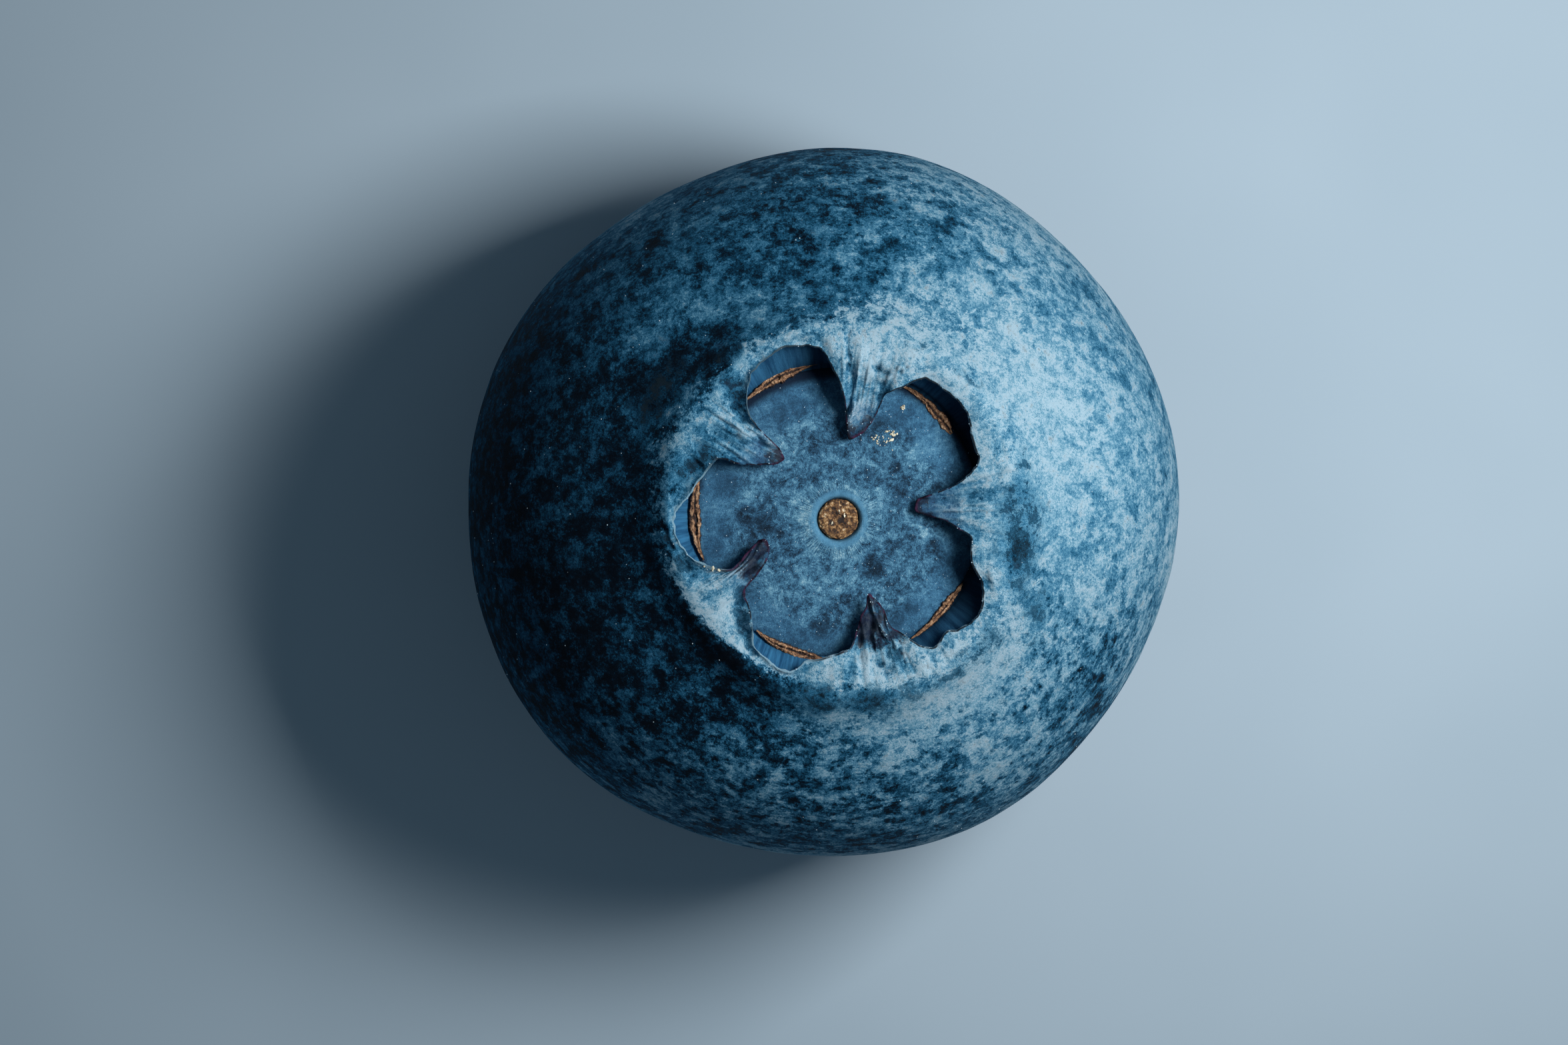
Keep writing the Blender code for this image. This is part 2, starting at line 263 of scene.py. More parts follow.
def wandered(points, seed):
    """The points seen from above, each moved a little one way or another, so that lines bend."""
    chance = np.random.default_rng(seed)
    moved = points[..., :2].copy()
    for length in FOLD_BENDS:
        turns = chance.uniform(-1, 1, (2, 2)) * math.tau / length
        starts = chance.uniform(0, math.tau, 2)
        moved += FOLD_BEND_SHARE * length * np.sin(points[..., :2] @ turns + starts)
    return moved


def folded(points, folds):
    """How far the folds raise or lower each point."""
    raised = np.zeros(points.shape[:-1])
    for seed, (start, end, half_width, height) in enumerate(folds):
        spots = wandered(points, seed)
        start, run = np.array(start), np.subtract(end, start)
        share = np.clip((spots - start) @ run / (run @ run), 0, 1)
        away = np.linalg.norm(spots - start - share[..., None] * run, axis=-1)
        swell = 0.75 + 0.35 * np.sin(9 * share + seed)
        raised += height * swell * np.exp(-((away / half_width) ** 2))
    return raised


# Fine wrinkles that run along the sepals, as (columns across one, height on a sepal, on the collar).
WRINKLES = ((1.3, 0.009, 0.003), (2.4, 0.017, 0.005), (5.0, 0.024, 0.009))
WRINKLE_TURN = 2.6


def wrinkled(toward_tip, rows):
    """How far the fine wrinkles raise each point of the sheet, from the crest to the lip."""
    shares = np.linspace(0, 1, rows)[:, None]
    on_sepal = softened(np.sqrt(toward_tip), 8) * smooth_step(shares, 0.05, 0.5)
    raised = np.zeros((rows, COLUMNS))
    for seed, (width, on_tip, on_collar) in enumerate(WRINKLES):
        turn = WRINKLE_TURN * shares + seed
        pattern = ragged(COLUMNS, width, 31 + seed) * np.cos(turn)
        pattern = pattern + ragged(COLUMNS, width, 41 + seed) * np.sin(turn)
        raised += pattern * (on_tip * on_sepal + on_collar * smooth_step(shares, 0.0, 0.2))
    return raised


def relaxed(sheet, passes):
    """The sheet's rows and columns spread until they run smoothly between its two edges."""
    for _ in range(passes):
        before, after = np.roll(sheet, 1, axis=1), np.roll(sheet, -1, axis=1)
        across, down = (after - before)[1:-1] / 2, (sheet[2:] - sheet[:-2]) / 2
        alpha, gamma = (down**2).sum(-1, keepdims=True), (across**2).sum(-1, keepdims=True)
        beta = (across * down).sum(-1, keepdims=True)
        corner = (after[2:] - after[:-2] - before[2:] + before[:-2]) / 4
        moved = alpha * (before + after)[1:-1] + gamma * (sheet[2:] + sheet[:-2]) - 2 * beta * corner
        sheet[1:-1] = moved / (2 * (alpha + gamma))
    return sheet


def groove_radii(angles):
    """The groove round the crown's floor, a little off the style's axis."""
    return GROOVE_RADIUS + GROOVE_SHIFT * np.cos(np.radians(angles - GROOVE_SHIFT_ANGLE))


class Crown:
    """The crown's rows of points, from the body's shoulder over the lip to the floor."""

    def __init__(self):
        self.lip, self.crest_angles = lip_outline()
        self.lip_radii = radius_of(self.lip)
        ramp = np.linspace(0, 360, COLUMNS, endpoint=False)
        self.even = ramp + np.mean(self.crest_angles - ramp)
        self.crest_radii = CREST_RADIUS * (1 + wave(self.crest_angles, CROWN_WAVES))
        inward = SEPAL_FOOT_RADIUS - self.lip_radii
        reach = np.clip(inward / (SEPAL_FOOT_RADIUS - SEPAL_TIP_RADIUS), 0, 1)
        self.toward_tip = np.clip(softened(reach, 3), 0, 1)
        lift_angles, lifts = zip(*TIP_LIFTS)
        lift = np.interp(angle_of(self.lip) % 360, lift_angles, lifts, period=360)
        heights = mix(LIP_HEIGHT, TIP_HEIGHT, self.toward_tip**0.8) + lift * self.toward_tip**2
        for seed, width in enumerate(LIP_WAVE_WIDTHS, 5):
            heights = heights + LIP_WAVE_HEIGHT * ragged(COLUMNS, width, seed)
        self.lip_heights = heights

    def control_rings(self):
        """Rings for the outside of the crown, ending two rings past the crest."""
        places = [(FOOT_OUTSIDE_CREST, FOOT_HEIGHT), (SLOPE_OUTSIDE_CREST, SLOPE_HEIGHT), (0, CREST_HEIGHT)]
        for share in (0.36, 0.74):
            inward = share * np.minimum(self.crest_radii - self.lip_radii, 0.9)
            places.append((-inward, CREST_HEIGHT - 0.10 * share))
        return [ring(self.crest_radii + out, height, self.crest_angles) for out, height in places]

    def sheet(self, crest_row):
        """Rows from the crest to the lip, folds and all."""
        shares = np.linspace(0, 1, SHEET_ROWS + 1)[:, None]
        crest_radii = radius_of(crest_row)
        lip_angles = np.degrees(np.unwrap(np.arctan2(self.lip[:, 1], self.lip[:, 0])))
        lip_angles += 360 * np.round(np.mean(self.crest_angles - lip_angles) / 360)
        radii = mix(crest_radii, self.lip_radii, shares)
        angles = np.radians(mix(self.crest_angles, lip_angles, shares**2.2))
        flat = np.stack([radii * np.cos(angles), radii * np.sin(angles)], axis=2)
        flat[0], flat[-1] = crest_row[:, :2], self.lip
        flat = relaxed(flat, RELAXING)
        gap = crest_radii - self.lip_radii
        heights = mix(crest_row[:, 2], self.lip_heights, shares ** (1.15 + 0.75 * self.toward_tip))
        heights = heights + SHEET_BULGE * np.sin(math.pi * shares) * np.minimum(1, gap)
        angle = angle_of(self.lip) % 360
        fin = smooth_step(angle, *FIN_START) * (1 - smooth_step(angle, *FIN_END)) * (1 - self.toward_tip)
        valley = np.clip((gap - 0.05) / 0.4, 0, 1) * softened(fin, 4)
        heights = heights - VALLEY_DEPTH * valley * np.sin(math.pi * shares**1.6)
        return np.concatenate([flat, heights[..., None]], axis=2)

    def lip_edge(self, lip_row):
        """The rounded edge of the lip, from its top to its underside."""
        along = np.roll(lip_row, -1, axis=0) - np.roll(lip_row, 1, axis=0)
        opening = np.stack([-along[:, 1], along[:, 0], 0 * along[:, 0]], axis=1)
        opening /= np.linalg.norm(opening, axis=1)[:, None]
        down = np.array((0, 0, LIP_THICKNESS))
        return [lip_row + out * opening - share * down for out, share in LIP_EDGE]

    def underside(self, sheet):
        """Rows back along the underside of the sepals, as far as the wall."""
        radii = radius_of(sheet)
        inside = np.minimum.accumulate(radii, axis=0)
        shares = np.linspace(0, 1, len(sheet))
        stop = np.array([np.interp(-WALL_RADIUS, -column, shares) for column in inside.T])
        stop = np.minimum(softened(stop, 5), 0.985)
        lowest = sheet[..., 2]
        for _ in range(UNDERSIDE_REACH):
            lowest = np.pad(lowest, ((1, 1), (0, 0)), mode="edge")
            lowest = np.minimum(np.minimum(lowest[:-2], lowest[1:-1]), lowest[2:])
        sheet = np.concatenate([sheet[..., :2], lowest[..., None]], axis=2)
        rows = []
        for step in range(1, UNDERSIDE_ROWS + 1):
            place = mix(1.0, stop, step / UNDERSIDE_ROWS) * SHEET_ROWS
            low = np.minimum(np.floor(place).astype(int), SHEET_ROWS - 1)
            share, columns = (place - low)[:, None], np.arange(COLUMNS)
            point = mix(sheet[low, columns], sheet[low + 1, columns], share)
            rows.append(point - (0, 0, LIP_THICKNESS * (1 + 0.6 * step / UNDERSIDE_ROWS)))
        return rows

    def wall(self, top):
        """Rows down the smooth inner wall to the groove at the floor's edge, and the hidden floor."""
        angles = mix(self.crest_angles, self.even, 0.35)
        groove = groove_radii(angles)
        foot = ring(groove + 0.10, GROOVE_HEIGHT + 0.05, angles)
        drop = (top[:, 2:] - foot[:, 2:]) * (0, 0, 1)
        rows = []
        below, above = top - 0.30 * drop, mix(foot, top, 0.10) + 0.25 * drop
        for step in range(1, WALL_ROWS + 1):
            t = step / WALL_ROWS
            rows.append((1 - t) ** 3 * top + 3 * t * (1 - t) ** 2 * below
                        + 3 * t**2 * (1 - t) * above + t**3 * foot)
        rows.append(ring(groove, GROOVE_HEIGHT, angles))
        rows.append(ring(groove - 0.15, GROOVE_HEIGHT - 0.07, angles))
        return rows


def body_rings(even, crest_angles):
    """Rings for the outside of the body, from the stem scar's pit up to the crown's foot."""
    rings = [ring(radius, height, even) for radius, height in STEM_PIT]
    rings += [ring(radius, 0.0, even) for radius in RESTING_FLAT_RADII]
    for latitude in BODY_LATITUDES:
        across = math.cos(math.radians(latitude)) ** (2 / FULLNESS)
        up = abs(math.sin(math.radians(latitude))) ** (2 / FULLNESS)
        angles = mix(even, crest_angles, max(0.0, latitude / 90))
        radii = FRUIT_RADIUS * SPLINE_SWELL * across * (1 + wave(angles, WAIST_WAVES) * across)
        height = WAIST_HEIGHT + math.copysign(HALF_HEIGHT * SPLINE_SWELL * up, latitude)
        rings.append(ring(radii, height, angles))
    return rings


def edge_distance(top, lip):
    """How far each point of the crown's top is from the lip, up to 1 mm."""
    apart = [np.sqrt(((row[:, None, :2] - lip[None]) ** 2).sum(-1).min(1)) for row in top]
    return np.minimum(1, apart)


def fruit_rows(crown):
    """Every row of the skin's points, from the stem scar up to the hidden floor, with its facts.

    A fact is a value at every point: here whether it is inside the crown, how near it is to the
    lip's edge, and the height of the folds.
    """
    rings = body_rings(crown.even, crown.crest_angles)
    shoulder = len(rings) - 2
    rings += crown.control_rings()
    rings = np.array([rings[1] * (-1, -1, 1), *rings])
    flat = len(STEM_PIT) + len(RESTING_FLAT_RADII) - 1
    places = [*np.linspace(0, flat, STEM_ROWS + 1)[:-1], *np.linspace(flat, shoulder, BODY_ROWS)]
    body = spline_rows(rings, places)[:, ::COARSE_STEP]
    slope = spline_rows(rings, np.linspace(shoulder, shoulder + 4, SLOPE_ROWS + 1)[1:])
    top = np.concatenate([slope, crown.sheet(slope[-1])[1:]])
    crest = len(slope) - 1
    for _ in range(4):
        before, after = top[crest - 4 : crest + 3], top[crest - 2 : crest + 5]
        top[crest - 3 : crest + 4] = (before + 2 * top[crest - 3 : crest + 4] + after) / 4
    folds = folded(top, FOLDS)
    folds[crest:] += wrinkled(crown.toward_tip, len(top) - crest)
    top[..., 2] += folds
    under = crown.underside(top[crest:])
    inside = np.array([*crown.lip_edge(top[-1]), *under, *crown.wall(under[-1])])
    rows = [body[0, :1], *body[1:], *top, *inside, inside[-1].mean(axis=0, keepdims=True)]
    zeros = [np.zeros(len(row)) for row in rows]
    start, end = len(body), len(body) + len(top)
    near = np.clip(1 - edge_distance(top, crown.lip) / RIM_WIDTH, 0, 1)
    facts = {
        "inside": [zero + (index >= end + 2) for index, zero in enumerate(zeros)],
        "rim": [*zeros[:start], *near, zeros[end] + 1, zeros[end + 1] + 0.5, *zeros[end + 2 :]],
        "fold": [*zeros[:start], *folds, *zeros[end:]],
    }
    return rows, {name: np.concatenate(values) for name, values in facts.items()}


# Meshes


def joined_rows(name, rows, facts, material):
    """A closed piece through rows of points from its lowest pole to its highest, seen from above.

    A row has as many points as the last, or three times as many. The first and last have one.
    """
    starts = np.cumsum([0, *[len(row) for row in rows]])
    faces = []
    for index in range(len(rows) - 1):
        low, high = starts[index], starts[index + 1]
        few, many = len(rows[index]), len(rows[index + 1])
        here = np.arange(max(few, many) if 1 in (few, many) else few)
        after = (here + 1) % len(here)
        if few == 1:
            corners = [(low + 0 * here, high + after, high + here)]
        elif many == 1:
            corners = [(low + here, low + after, high + 0 * here)]
        elif few == many:
            corners = [(low + here, low + after, high + after, high + here)]
        else:
            first, last = high + 3 * here, high + 3 * after
            corners = [(low + here, first + 1, first), (low + here, first + 2, first + 1),
                       (low + here, low + after, first + 2), (low + after, last, first + 2)]
        for corner in corners:
            faces += np.stack(corner, 1).tolist()
    mesh = bpy.data.meshes.new(name)
    mesh.from_pydata((np.concatenate(rows) * MM).tolist(), [], faces)
    for fact, values in facts.items():
        attribute = mesh.attributes.new(fact, "FLOAT", "POINT")
        attribute.data.foreach_set("value", values.astype(np.float32))
    mesh.materials.append(material)
    mesh.shade_smooth()
    return linked(name, mesh)


def linked(name, data):
    piece = bpy.data.objects.new(name, data)
    bpy.context.scene.collection.objects.link(piece)
    return piece


def path(name, points, half_widths):
    """A line of points for a geometry tree to follow."""
    mesh = bpy.data.meshes.new(name)
    edges = [(index, index + 1) for index in range(len(points) - 1)]
    mesh.from_pydata((np.array(points) * MM).tolist(), edges, [])
    widths = mesh.attributes.new("half_width", "FLOAT", "POINT")
    widths.data.foreach_set("value", np.array(half_widths, np.float32))
    return linked(name, mesh)


# Node trees


class Value:
    """A socket of a node tree. A sum written on it becomes Math nodes."""

    def __init__(self, tree, socket):
        self.tree = tree
        self.socket = socket

    def math(self, operation, *terms):
        return self.tree.node("ShaderNodeMath", {"operation": operation}, *terms)

    def __add__(self, other):
        return self.math("ADD", self, other)

    def __sub__(self, other):
        return self.math("SUBTRACT", self, other)

    def __rsub__(self, other):
        return self.math("SUBTRACT", other, self)

    def __mul__(self, other):
        return self.math("MULTIPLY", self, other)

    def __truediv__(self, other):
        return self.math("DIVIDE", self, other)

    def __rtruediv__(self, other):
        return self.math("DIVIDE", other, self)

    def __abs__(self):
        return self.math("ABSOLUTE", self)

    __radd__ = __add__
    __rmul__ = __mul__


class Tree:
    """A node tree, of a material or of a geometry modifier, with one way to add any node."""

    def __init__(self, nodes, place, output):
        self.nodes = nodes
        self.place = self.vector("SCALE", self.node(place, output=output), Scale=1 / MM)

    def socket(self, sockets, name):
        if isinstance(name, int):
            return sockets[name]
        return next(socket for socket in sockets if socket.identifier.replace(" ", "_") == name)

    def node(self, kind, settings=(), *numbered, output=0, **named):
        """Any node, its inputs given in their order or by name, with _ where the name has a space."""
        node = self.nodes.nodes.new(kind)
        for name, setting in dict(settings).items():
            setattr(node, name, setting)
        for name, value in [*enumerate(numbered), *named.items()]:
            socket = self.socket(node.inputs, name)
            if isinstance(value, Value):
                self.nodes.links.new(value.socket, socket)
            else:
                socket.default_value = (*value, 1) if socket.type == "RGBA" else value
        return Value(self, self.socket(node.outputs, output)) if node.outputs else None

    def vector(self, operation, *vectors, output=0, **inputs):
        return self.node("ShaderNodeVectorMath", {"operation": operation}, *vectors, output=output, **inputs)

    def vector_of(self, x, y, z):
        return self.node("ShaderNodeCombineXYZ", {}, x, y, z)

    def parts(self, vector):
        split = self.node("ShaderNodeSeparateXYZ", {}, vector)
        return [Value(self, socket) for socket in split.socket.node.outputs]

    def noise(self, at, scale, detail=2, roughness=0.5, distortion=0.0, output=0):
        """Cloudy noise from 0 to 1 with this many clouds to the millimetre."""
        return self.node("ShaderNodeTexNoise", {}, Vector=at, Scale=scale, Detail=detail,
                         Roughness=roughness, Distortion=distortion, output=output)

    def swings(self, at, *pattern):
        """Cloudy noise from -0.5 to 0.5."""
        return self.noise(at, *pattern) - 0.5

    def cells(self, at, scale, output="Distance"):
        return self.node("ShaderNodeTexVoronoi", {}, Vector=at, Scale=scale, output=output)

    def step(self, value, low, high, start=0.0, end=1.0):
        """A soft step from start to end as the value goes from low to high."""
        return self.node("ShaderNodeMapRange", {"interpolation_type": "SMOOTHSTEP"}, Value=value,
                         From_Min=low, From_Max=high, To_Min=start, To_Max=end)

    def fall(self, value, low, high):
        return self.step(value, low, high, 1.0, 0.0)

    def bent(self, place, scale, reach):
        """The place moved this many millimetres at most, in waves this many to the millimetre."""
        centred = self.vector("SUBTRACT", self.noise(place, scale, output="Color"), (0.5, 0.5, 0.5))
        return self.vector("ADD", place, self.vector("SCALE", centred, Scale=2 * reach))

    def from_axis(self, place):
        """The direction out from the style's axis, the distance from it and the height."""
        x, y, z = self.parts(place)
        flat = self.vector_of(x, y, 0.0)
        return self.vector("NORMALIZE", flat), self.vector("LENGTH", flat, output="Value"), z

    def bands(self, place, around, along):
        """A place for noise that runs in strokes round the fruit."""
        outward, radius, z = self.from_axis(place)
        up = z.math("ARCTAN2", z - WAIST_HEIGHT, radius)
        turned = self.vector("SCALE", outward, Scale=around)
        return self.vector("ADD", turned, self.vector_of(0.0, 0.0, up * along))

    def spokes(self, place, count, along):
        """A place for noise that runs in streaks out from the style's axis, and how far out it is."""
        outward, radius, z = self.from_axis(place)
        around = self.vector("SCALE", outward, Scale=count / math.tau)
        return self.vector("ADD", around, self.vector_of(0.0, 0.0, (radius + z) * along)), radius


class Look(Tree):
    """A material whose pattern follows its piece."""

    def __init__(self, name, style=(0.0, 0.0)):
        self.material = bpy.data.materials.new(name)
        self.material.use_nodes = True
        super().__init__(self.material.node_tree, "ShaderNodeTexCoord", "Object")
        self.from_style = self.vector("SUBTRACT", self.place, (*style, 0.0))
        self.shader = self.nodes.nodes["Principled BSDF"]

    def facts(self, *names):
        return [self.node("ShaderNodeAttribute", {"attribute_name": name}, output="Fac") for name in names]

    def blend(self, share, first, second):
        return self.node("ShaderNodeMix", {"data_type": "RGBA"}, Factor_Float=share, A_Color=first,
                         B_Color=second, output="Result_Color")

    def ramp(self, value, stops):
        """The value as a colour, between stops of (value, colour)."""
        ramp = self.node("ShaderNodeValToRGB", {}, value)
        elements = ramp.socket.node.color_ramp.elements
        while len(elements) < len(stops):
            elements.new(0.5)
        for element, (position, colour) in zip(elements, stops):
            element.position = position
            element.color = (*colour, 1)
        return ramp

    def bump(self, height, depth):
        """The height, from 0 to 1, as relief this many millimetres deep."""
        return self.node("ShaderNodeBump", {}, Height=height, Distance=depth * MM, Strength=1.0)

    def finished(self, **values):
        for name, value in values.items():
            socket = self.shader.inputs[name.replace("_", " ").title().replace("Ior", "IOR")]
            if isinstance(value, Value):
                self.nodes.links.new(value.socket, socket)
            else:
                socket.default_value = value
        return self.material


class Growth(Tree):
    """A geometry tree with named sizes in millimetres."""

    def __init__(self, name, **sizes):
        nodes = bpy.data.node_groups.new(name, "GeometryNodeTree")
        add = nodes.interface.new_socket
        add("Geometry", in_out="OUTPUT", socket_type="NodeSocketGeometry")
        for label in ("Geometry", "Material"):
            add(label, in_out="INPUT", socket_type=f"NodeSocket{label}")
        for label, size in sizes.items():
            kind = "NodeSocketInt" if isinstance(size, int) else "NodeSocketFloat"
            add(label.replace("_", " "), in_out="INPUT", socket_type=kind).default_value = size
        group = nodes.nodes.new("NodeGroupInput")
        self.size = SimpleNamespace(**{
            label: Value(self, group.outputs[label.replace("_", " ")])
            for label in ("Geometry", "Material", *sizes)
        })
        super().__init__(nodes, "GeometryNodeInputPosition", 0)

    def fact(self, name, kind="FLOAT"):
        return self.node("GeometryNodeInputNamedAttribute", {"data_type": kind}, Name=name)

    def stored(self, geometry, name, value):
        return self.node("GeometryNodeStoreNamedAttribute", {"data_type": "FLOAT", "domain": "POINT"},
                         Geometry=geometry, Name=name, Value=value)

    def chance(self, least, greatest):
        """A random vector between these two."""
        return self.node("FunctionNodeRandomValue", {"data_type": "FLOAT_VECTOR"}, Min=least, Max=greatest,
                         Seed=self.size.Seed)

    def strewn(self, points, thing, **placing):
        return self.node("GeometryNodeInstanceOnPoints", {}, Points=points, Instance=thing, **placing)

    def pushed(self, geometry, height):
        """The surface moved out along its normals by a height in millimetres."""
        offset = self.vector("SCALE", self.node("GeometryNodeInputNormal"), Scale=height * MM)
        return self.node("GeometryNodeSetPosition", {}, Geometry=geometry, Offset=offset)

    def ended(self, geometry):
        real = self.node("GeometryNodeRealizeInstances", {}, Geometry=geometry)
        smooth = self.node("GeometryNodeSetShadeSmooth", {}, Geometry=real)
        done = self.node("GeometryNodeSetMaterial", {}, Geometry=smooth, Material=self.size.Material)
        self.node("NodeGroupOutput", {}, done)
        return self.nodes


def grown(piece, tree, material, **sizes):
    """The piece as a plain mesh with the tree's work done on it."""
    modifier = piece.modifiers.new(tree.name, "NODES")
    modifier.node_group = tree
    chosen = {"Material": material, **{label.replace("_", " "): size for label, size in sizes.items()}}
    for socket in tree.interface.items_tree:
        if socket.in_out == "INPUT" and socket.name in chosen:
            modifier[socket.identifier] = chosen[socket.name]
    graph = bpy.context.evaluated_depsgraph_get()
    made = bpy.data.meshes.new_from_object(
        piece.evaluated_get(graph), preserve_all_data_layers=True, depsgraph=graph
    )
    piece.modifiers.clear()
    rough = piece.data
    piece.data = made
    bpy.data.meshes.remove(rough)
    made.name = piece.name
    return piece


def relief_tree():
    """Lumps, wrinkles, grain and pits on a surface, each with its own size and height."""
    tree = Growth(
        "surface_relief", Lump_size=2.0, Lump_height=0.0, Wrinkle_size=0.3, Wrinkle_height=0.0,
        Grain_size=0.1, Grain_height=0.0, Pit_size=0.1, Pit_depth=0.0, Seed=0.0,
    )
    size, loose = tree.size, tree.fact("loose")
    place = tree.vector("ADD", tree.place, tree.vector_of(size.Seed, 0.0, 0.0))
    streaks, _ = tree.spokes(place, 90, 1.6)
    wrinkles = tree.swings(place, 1 / size.Wrinkle_size, 3, 0.6, 0.8)
    pleats = tree.swings(streaks, 1.0, 3, 0.6, 0.3)
    pits = tree.step(tree.cells(place, 1 / size.Pit_size), 0.05, 0.45) - 1
    height = 2 * tree.swings(place, 1 / size.Lump_size) * size.Lump_height * loose
    height += 2 * tree.swings(place, 1 / size.Grain_size) * size.Grain_height * loose
    height += (wrinkles + pleats) * size.Wrinkle_height * tree.fact("wrinkled")
    height += pits * size.Pit_depth
    return tree.ended(tree.pushed(size.Geometry, height))


def husk_tree():
    """A papery husk along a path: flat, ragged at its sides, split lengthwise, with ribs and cracks."""
    tree = Growth(
        "stamen_husk", Flatness=0.60, Split_depth=0.62, Rib_height=0.036, Crack_height=0.026, Raggedness=2.3,
        Places_along=190, Places_round=40, Seed=0.0,
    )
    size = tree.size
    line = tree.node("GeometryNodeMeshToCurve", {}, Mesh=size.Geometry)
    line = tree.node("GeometryNodeResampleCurve", {"mode": "COUNT"}, Curve=line, Count=size.Places_along)
    line = tree.node("GeometryNodeSetCurveNormal", {"mode": "Z_UP"}, Curve=line)
    line = tree.stored(line, "along", tree.node("GeometryNodeSplineParameter", output="Factor"))
    profile = tree.node("GeometryNodeCurvePrimitiveCircle", {"mode": "RADIUS"},
                        Resolution=size.Places_round, Radius=MM)
    x, y, _ = tree.parts(tree.place)
    thin = y * size.Flatness * (1 - tree.fall(abs(x), 0.02, 0.35) * size.Split_depth)
    flattened = tree.vector("SCALE", tree.vector_of(x, thin, 0.0), Scale=MM)
    profile = tree.stored(profile, "across", x)
    profile = tree.node("GeometryNodeSetPosition", {}, Geometry=profile, Position=flattened)
    across, along, width = tree.fact("across"), tree.fact("along"), tree.fact("half_width")
    husk = tree.node("GeometryNodeCurveToMesh", {}, Curve=line, Profile_Curve=profile, Scale=width,
                     Fill_Caps=True)
    ragged, ribs, cracks = (
        tree.swings(tree.vector_of(across * wide, along * long, size.Seed), 1.0, detail, roughness)
        for wide, long, detail, roughness in ((0.7, 8, 5, 0.74), (3.2, 11, 4, 0.7), (2, 34, 3, 0.6))
    )
    height = ribs * size.Rib_height * 2 + cracks * size.Crack_height * 2
    return tree.ended(tree.pushed(husk, height + ragged * size.Raggedness * width))


def strewn_tree():
    """A small rough grain on every point given, as wide as the point says."""
    tree = Growth("strewn_grains", Flatness=0.45, Roughness=0.55, Rounds=3, Seed=1)
    size = tree.size
    grain = tree.node("GeometryNodeMeshIcoSphere", {}, Radius=MM, Subdivisions=size.Rounds)
    turn = tree.chance((0, 0, 0), (0.6, 0.6, math.tau))
    stretch = tree.chance((0.5, 0.6, 0.4), (1.5, 1.3, 1.0))
    stretch = tree.vector("SCALE", stretch, Scale=tree.fact("half_width"))
    stretch = tree.vector("MULTIPLY", stretch, tree.vector_of(1.0, 1.0, size.Flatness))
    grains = tree.strewn(size.Geometry, grain, Rotation=turn, Scale=stretch)
    grains = tree.node("GeometryNodeRealizeInstances", {}, Geometry=grains)
    return tree.ended(tree.pushed(grains, tree.swings(tree.place, 26.0, 1, 0.5) * size.Roughness * 0.1))


def fibre_tree():
    """Fine spikes that lie on a surface, each pointing away from the style."""
    tree = Growth("radial_fibres", Length=0.17, Thickness=0.007, Seed=3)
    spike = tree.node("GeometryNodeMeshCone", {}, Vertices=4, Radius_Top=0.0,
                      Radius_Bottom=tree.size.Thickness * MM, Depth=tree.size.Length * MM)
    outward = tree.fact("outward", "FLOAT_VECTOR")
    aimed = tree.node("FunctionNodeAlignRotationToVector", {"axis": "Z"}, Vector=outward)
    length = tree.chance((0.6, 0.6, 0.5), (1.4, 1.0, 1.2))
    return tree.ended(tree.strewn(tree.size.Geometry, spike, Rotation=aimed, Scale=length))


def dust_tree():
    """Specks of dust scattered over a surface."""
    tree = Growth("dust_specks", Specks_per_square=0.5, Least_size=0.006, Greatest_size=0.018, Seed=7)
    size = tree.size
    density = size.Specks_per_square / MM**2 * tree.fact("dusty")
    points = tree.node("GeometryNodeDistributePointsOnFaces", {"distribute_method": "RANDOM"},
                       Mesh=size.Geometry, Density=density, Seed=size.Seed)
    speck = tree.node("GeometryNodeMeshIcoSphere", {}, Radius=MM, Subdivisions=1)
    wide = tree.node("FunctionNodeRandomValue", {"data_type": "FLOAT"}, Min_001=size.Least_size,
                     Max_001=size.Greatest_size, Seed=size.Seed, output="Value_001")
    return tree.ended(tree.strewn(points, speck, Scale=wide))


# Finishes

# From bare skin to the thickest bloom, as (amount, colour).
BLOOM_COLOURS = (
    (0.0, (0.0004, 0.0036, 0.009)), (0.22, (0.001, 0.011, 0.0245)), (0.34, (0.0042, 0.041, 0.085)),
    (0.52, (0.017, 0.118, 0.222)), (0.7, (0.066, 0.245, 0.4)), (0.86, (0.2, 0.43, 0.575)),
    (1.0, (0.47, 0.64, 0.74)),
)
# Blues of the inner wall and its streaks, and the colour of the painted shade on it under the lip.
WALL_BLUE, WALL_SHADE, WALL_SHADOW_COLOUR = (0.062, 0.260, 0.480), (0.018, 0.095, 0.215), (0.0015, 0.006, 0.016)
SEPAL_MAUVE, SEPAL_TIP = (0.095, 0.140, 0.275), (0.016, 0.012, 0.028)
# Grey-brown for the smudges and the painted shade of the collar's hollows, and near-black blue for the
# painted shade deep in the furrows.
SMUDGE_AND_SHADE_GREY, FURROW_PAINTED_SHADE = (0.030, 0.062, 0.082), (0.0045, 0.011, 0.026)
BROWN_EDGE, MAGENTA_EDGE, PALE_EDGE = (0.012, 0.009, 0.012), (0.080, 0.030, 0.075), (0.30, 0.50, 0.62)
# Patterns of the bloom, as noise: clouds to the millimetre, detail, roughness.
PATCHES, CLOUDS, LACE = (0.5, 4, 0.6), (1.15, 6, 0.74), (3.2, 8, 0.80)
FLAKES, STROKES, FLECKS = (2.1, 9, 0.80), (1.0, 7, 0.74), (5.5, 8, 0.85)
GRAIN, DUST, SOFT_PATCHES = (19, 5, 0.85), (55, 3, 0.8), (3.4, 4, 0.7)
STROKES_AROUND, STROKES_ALONG = 11, 36


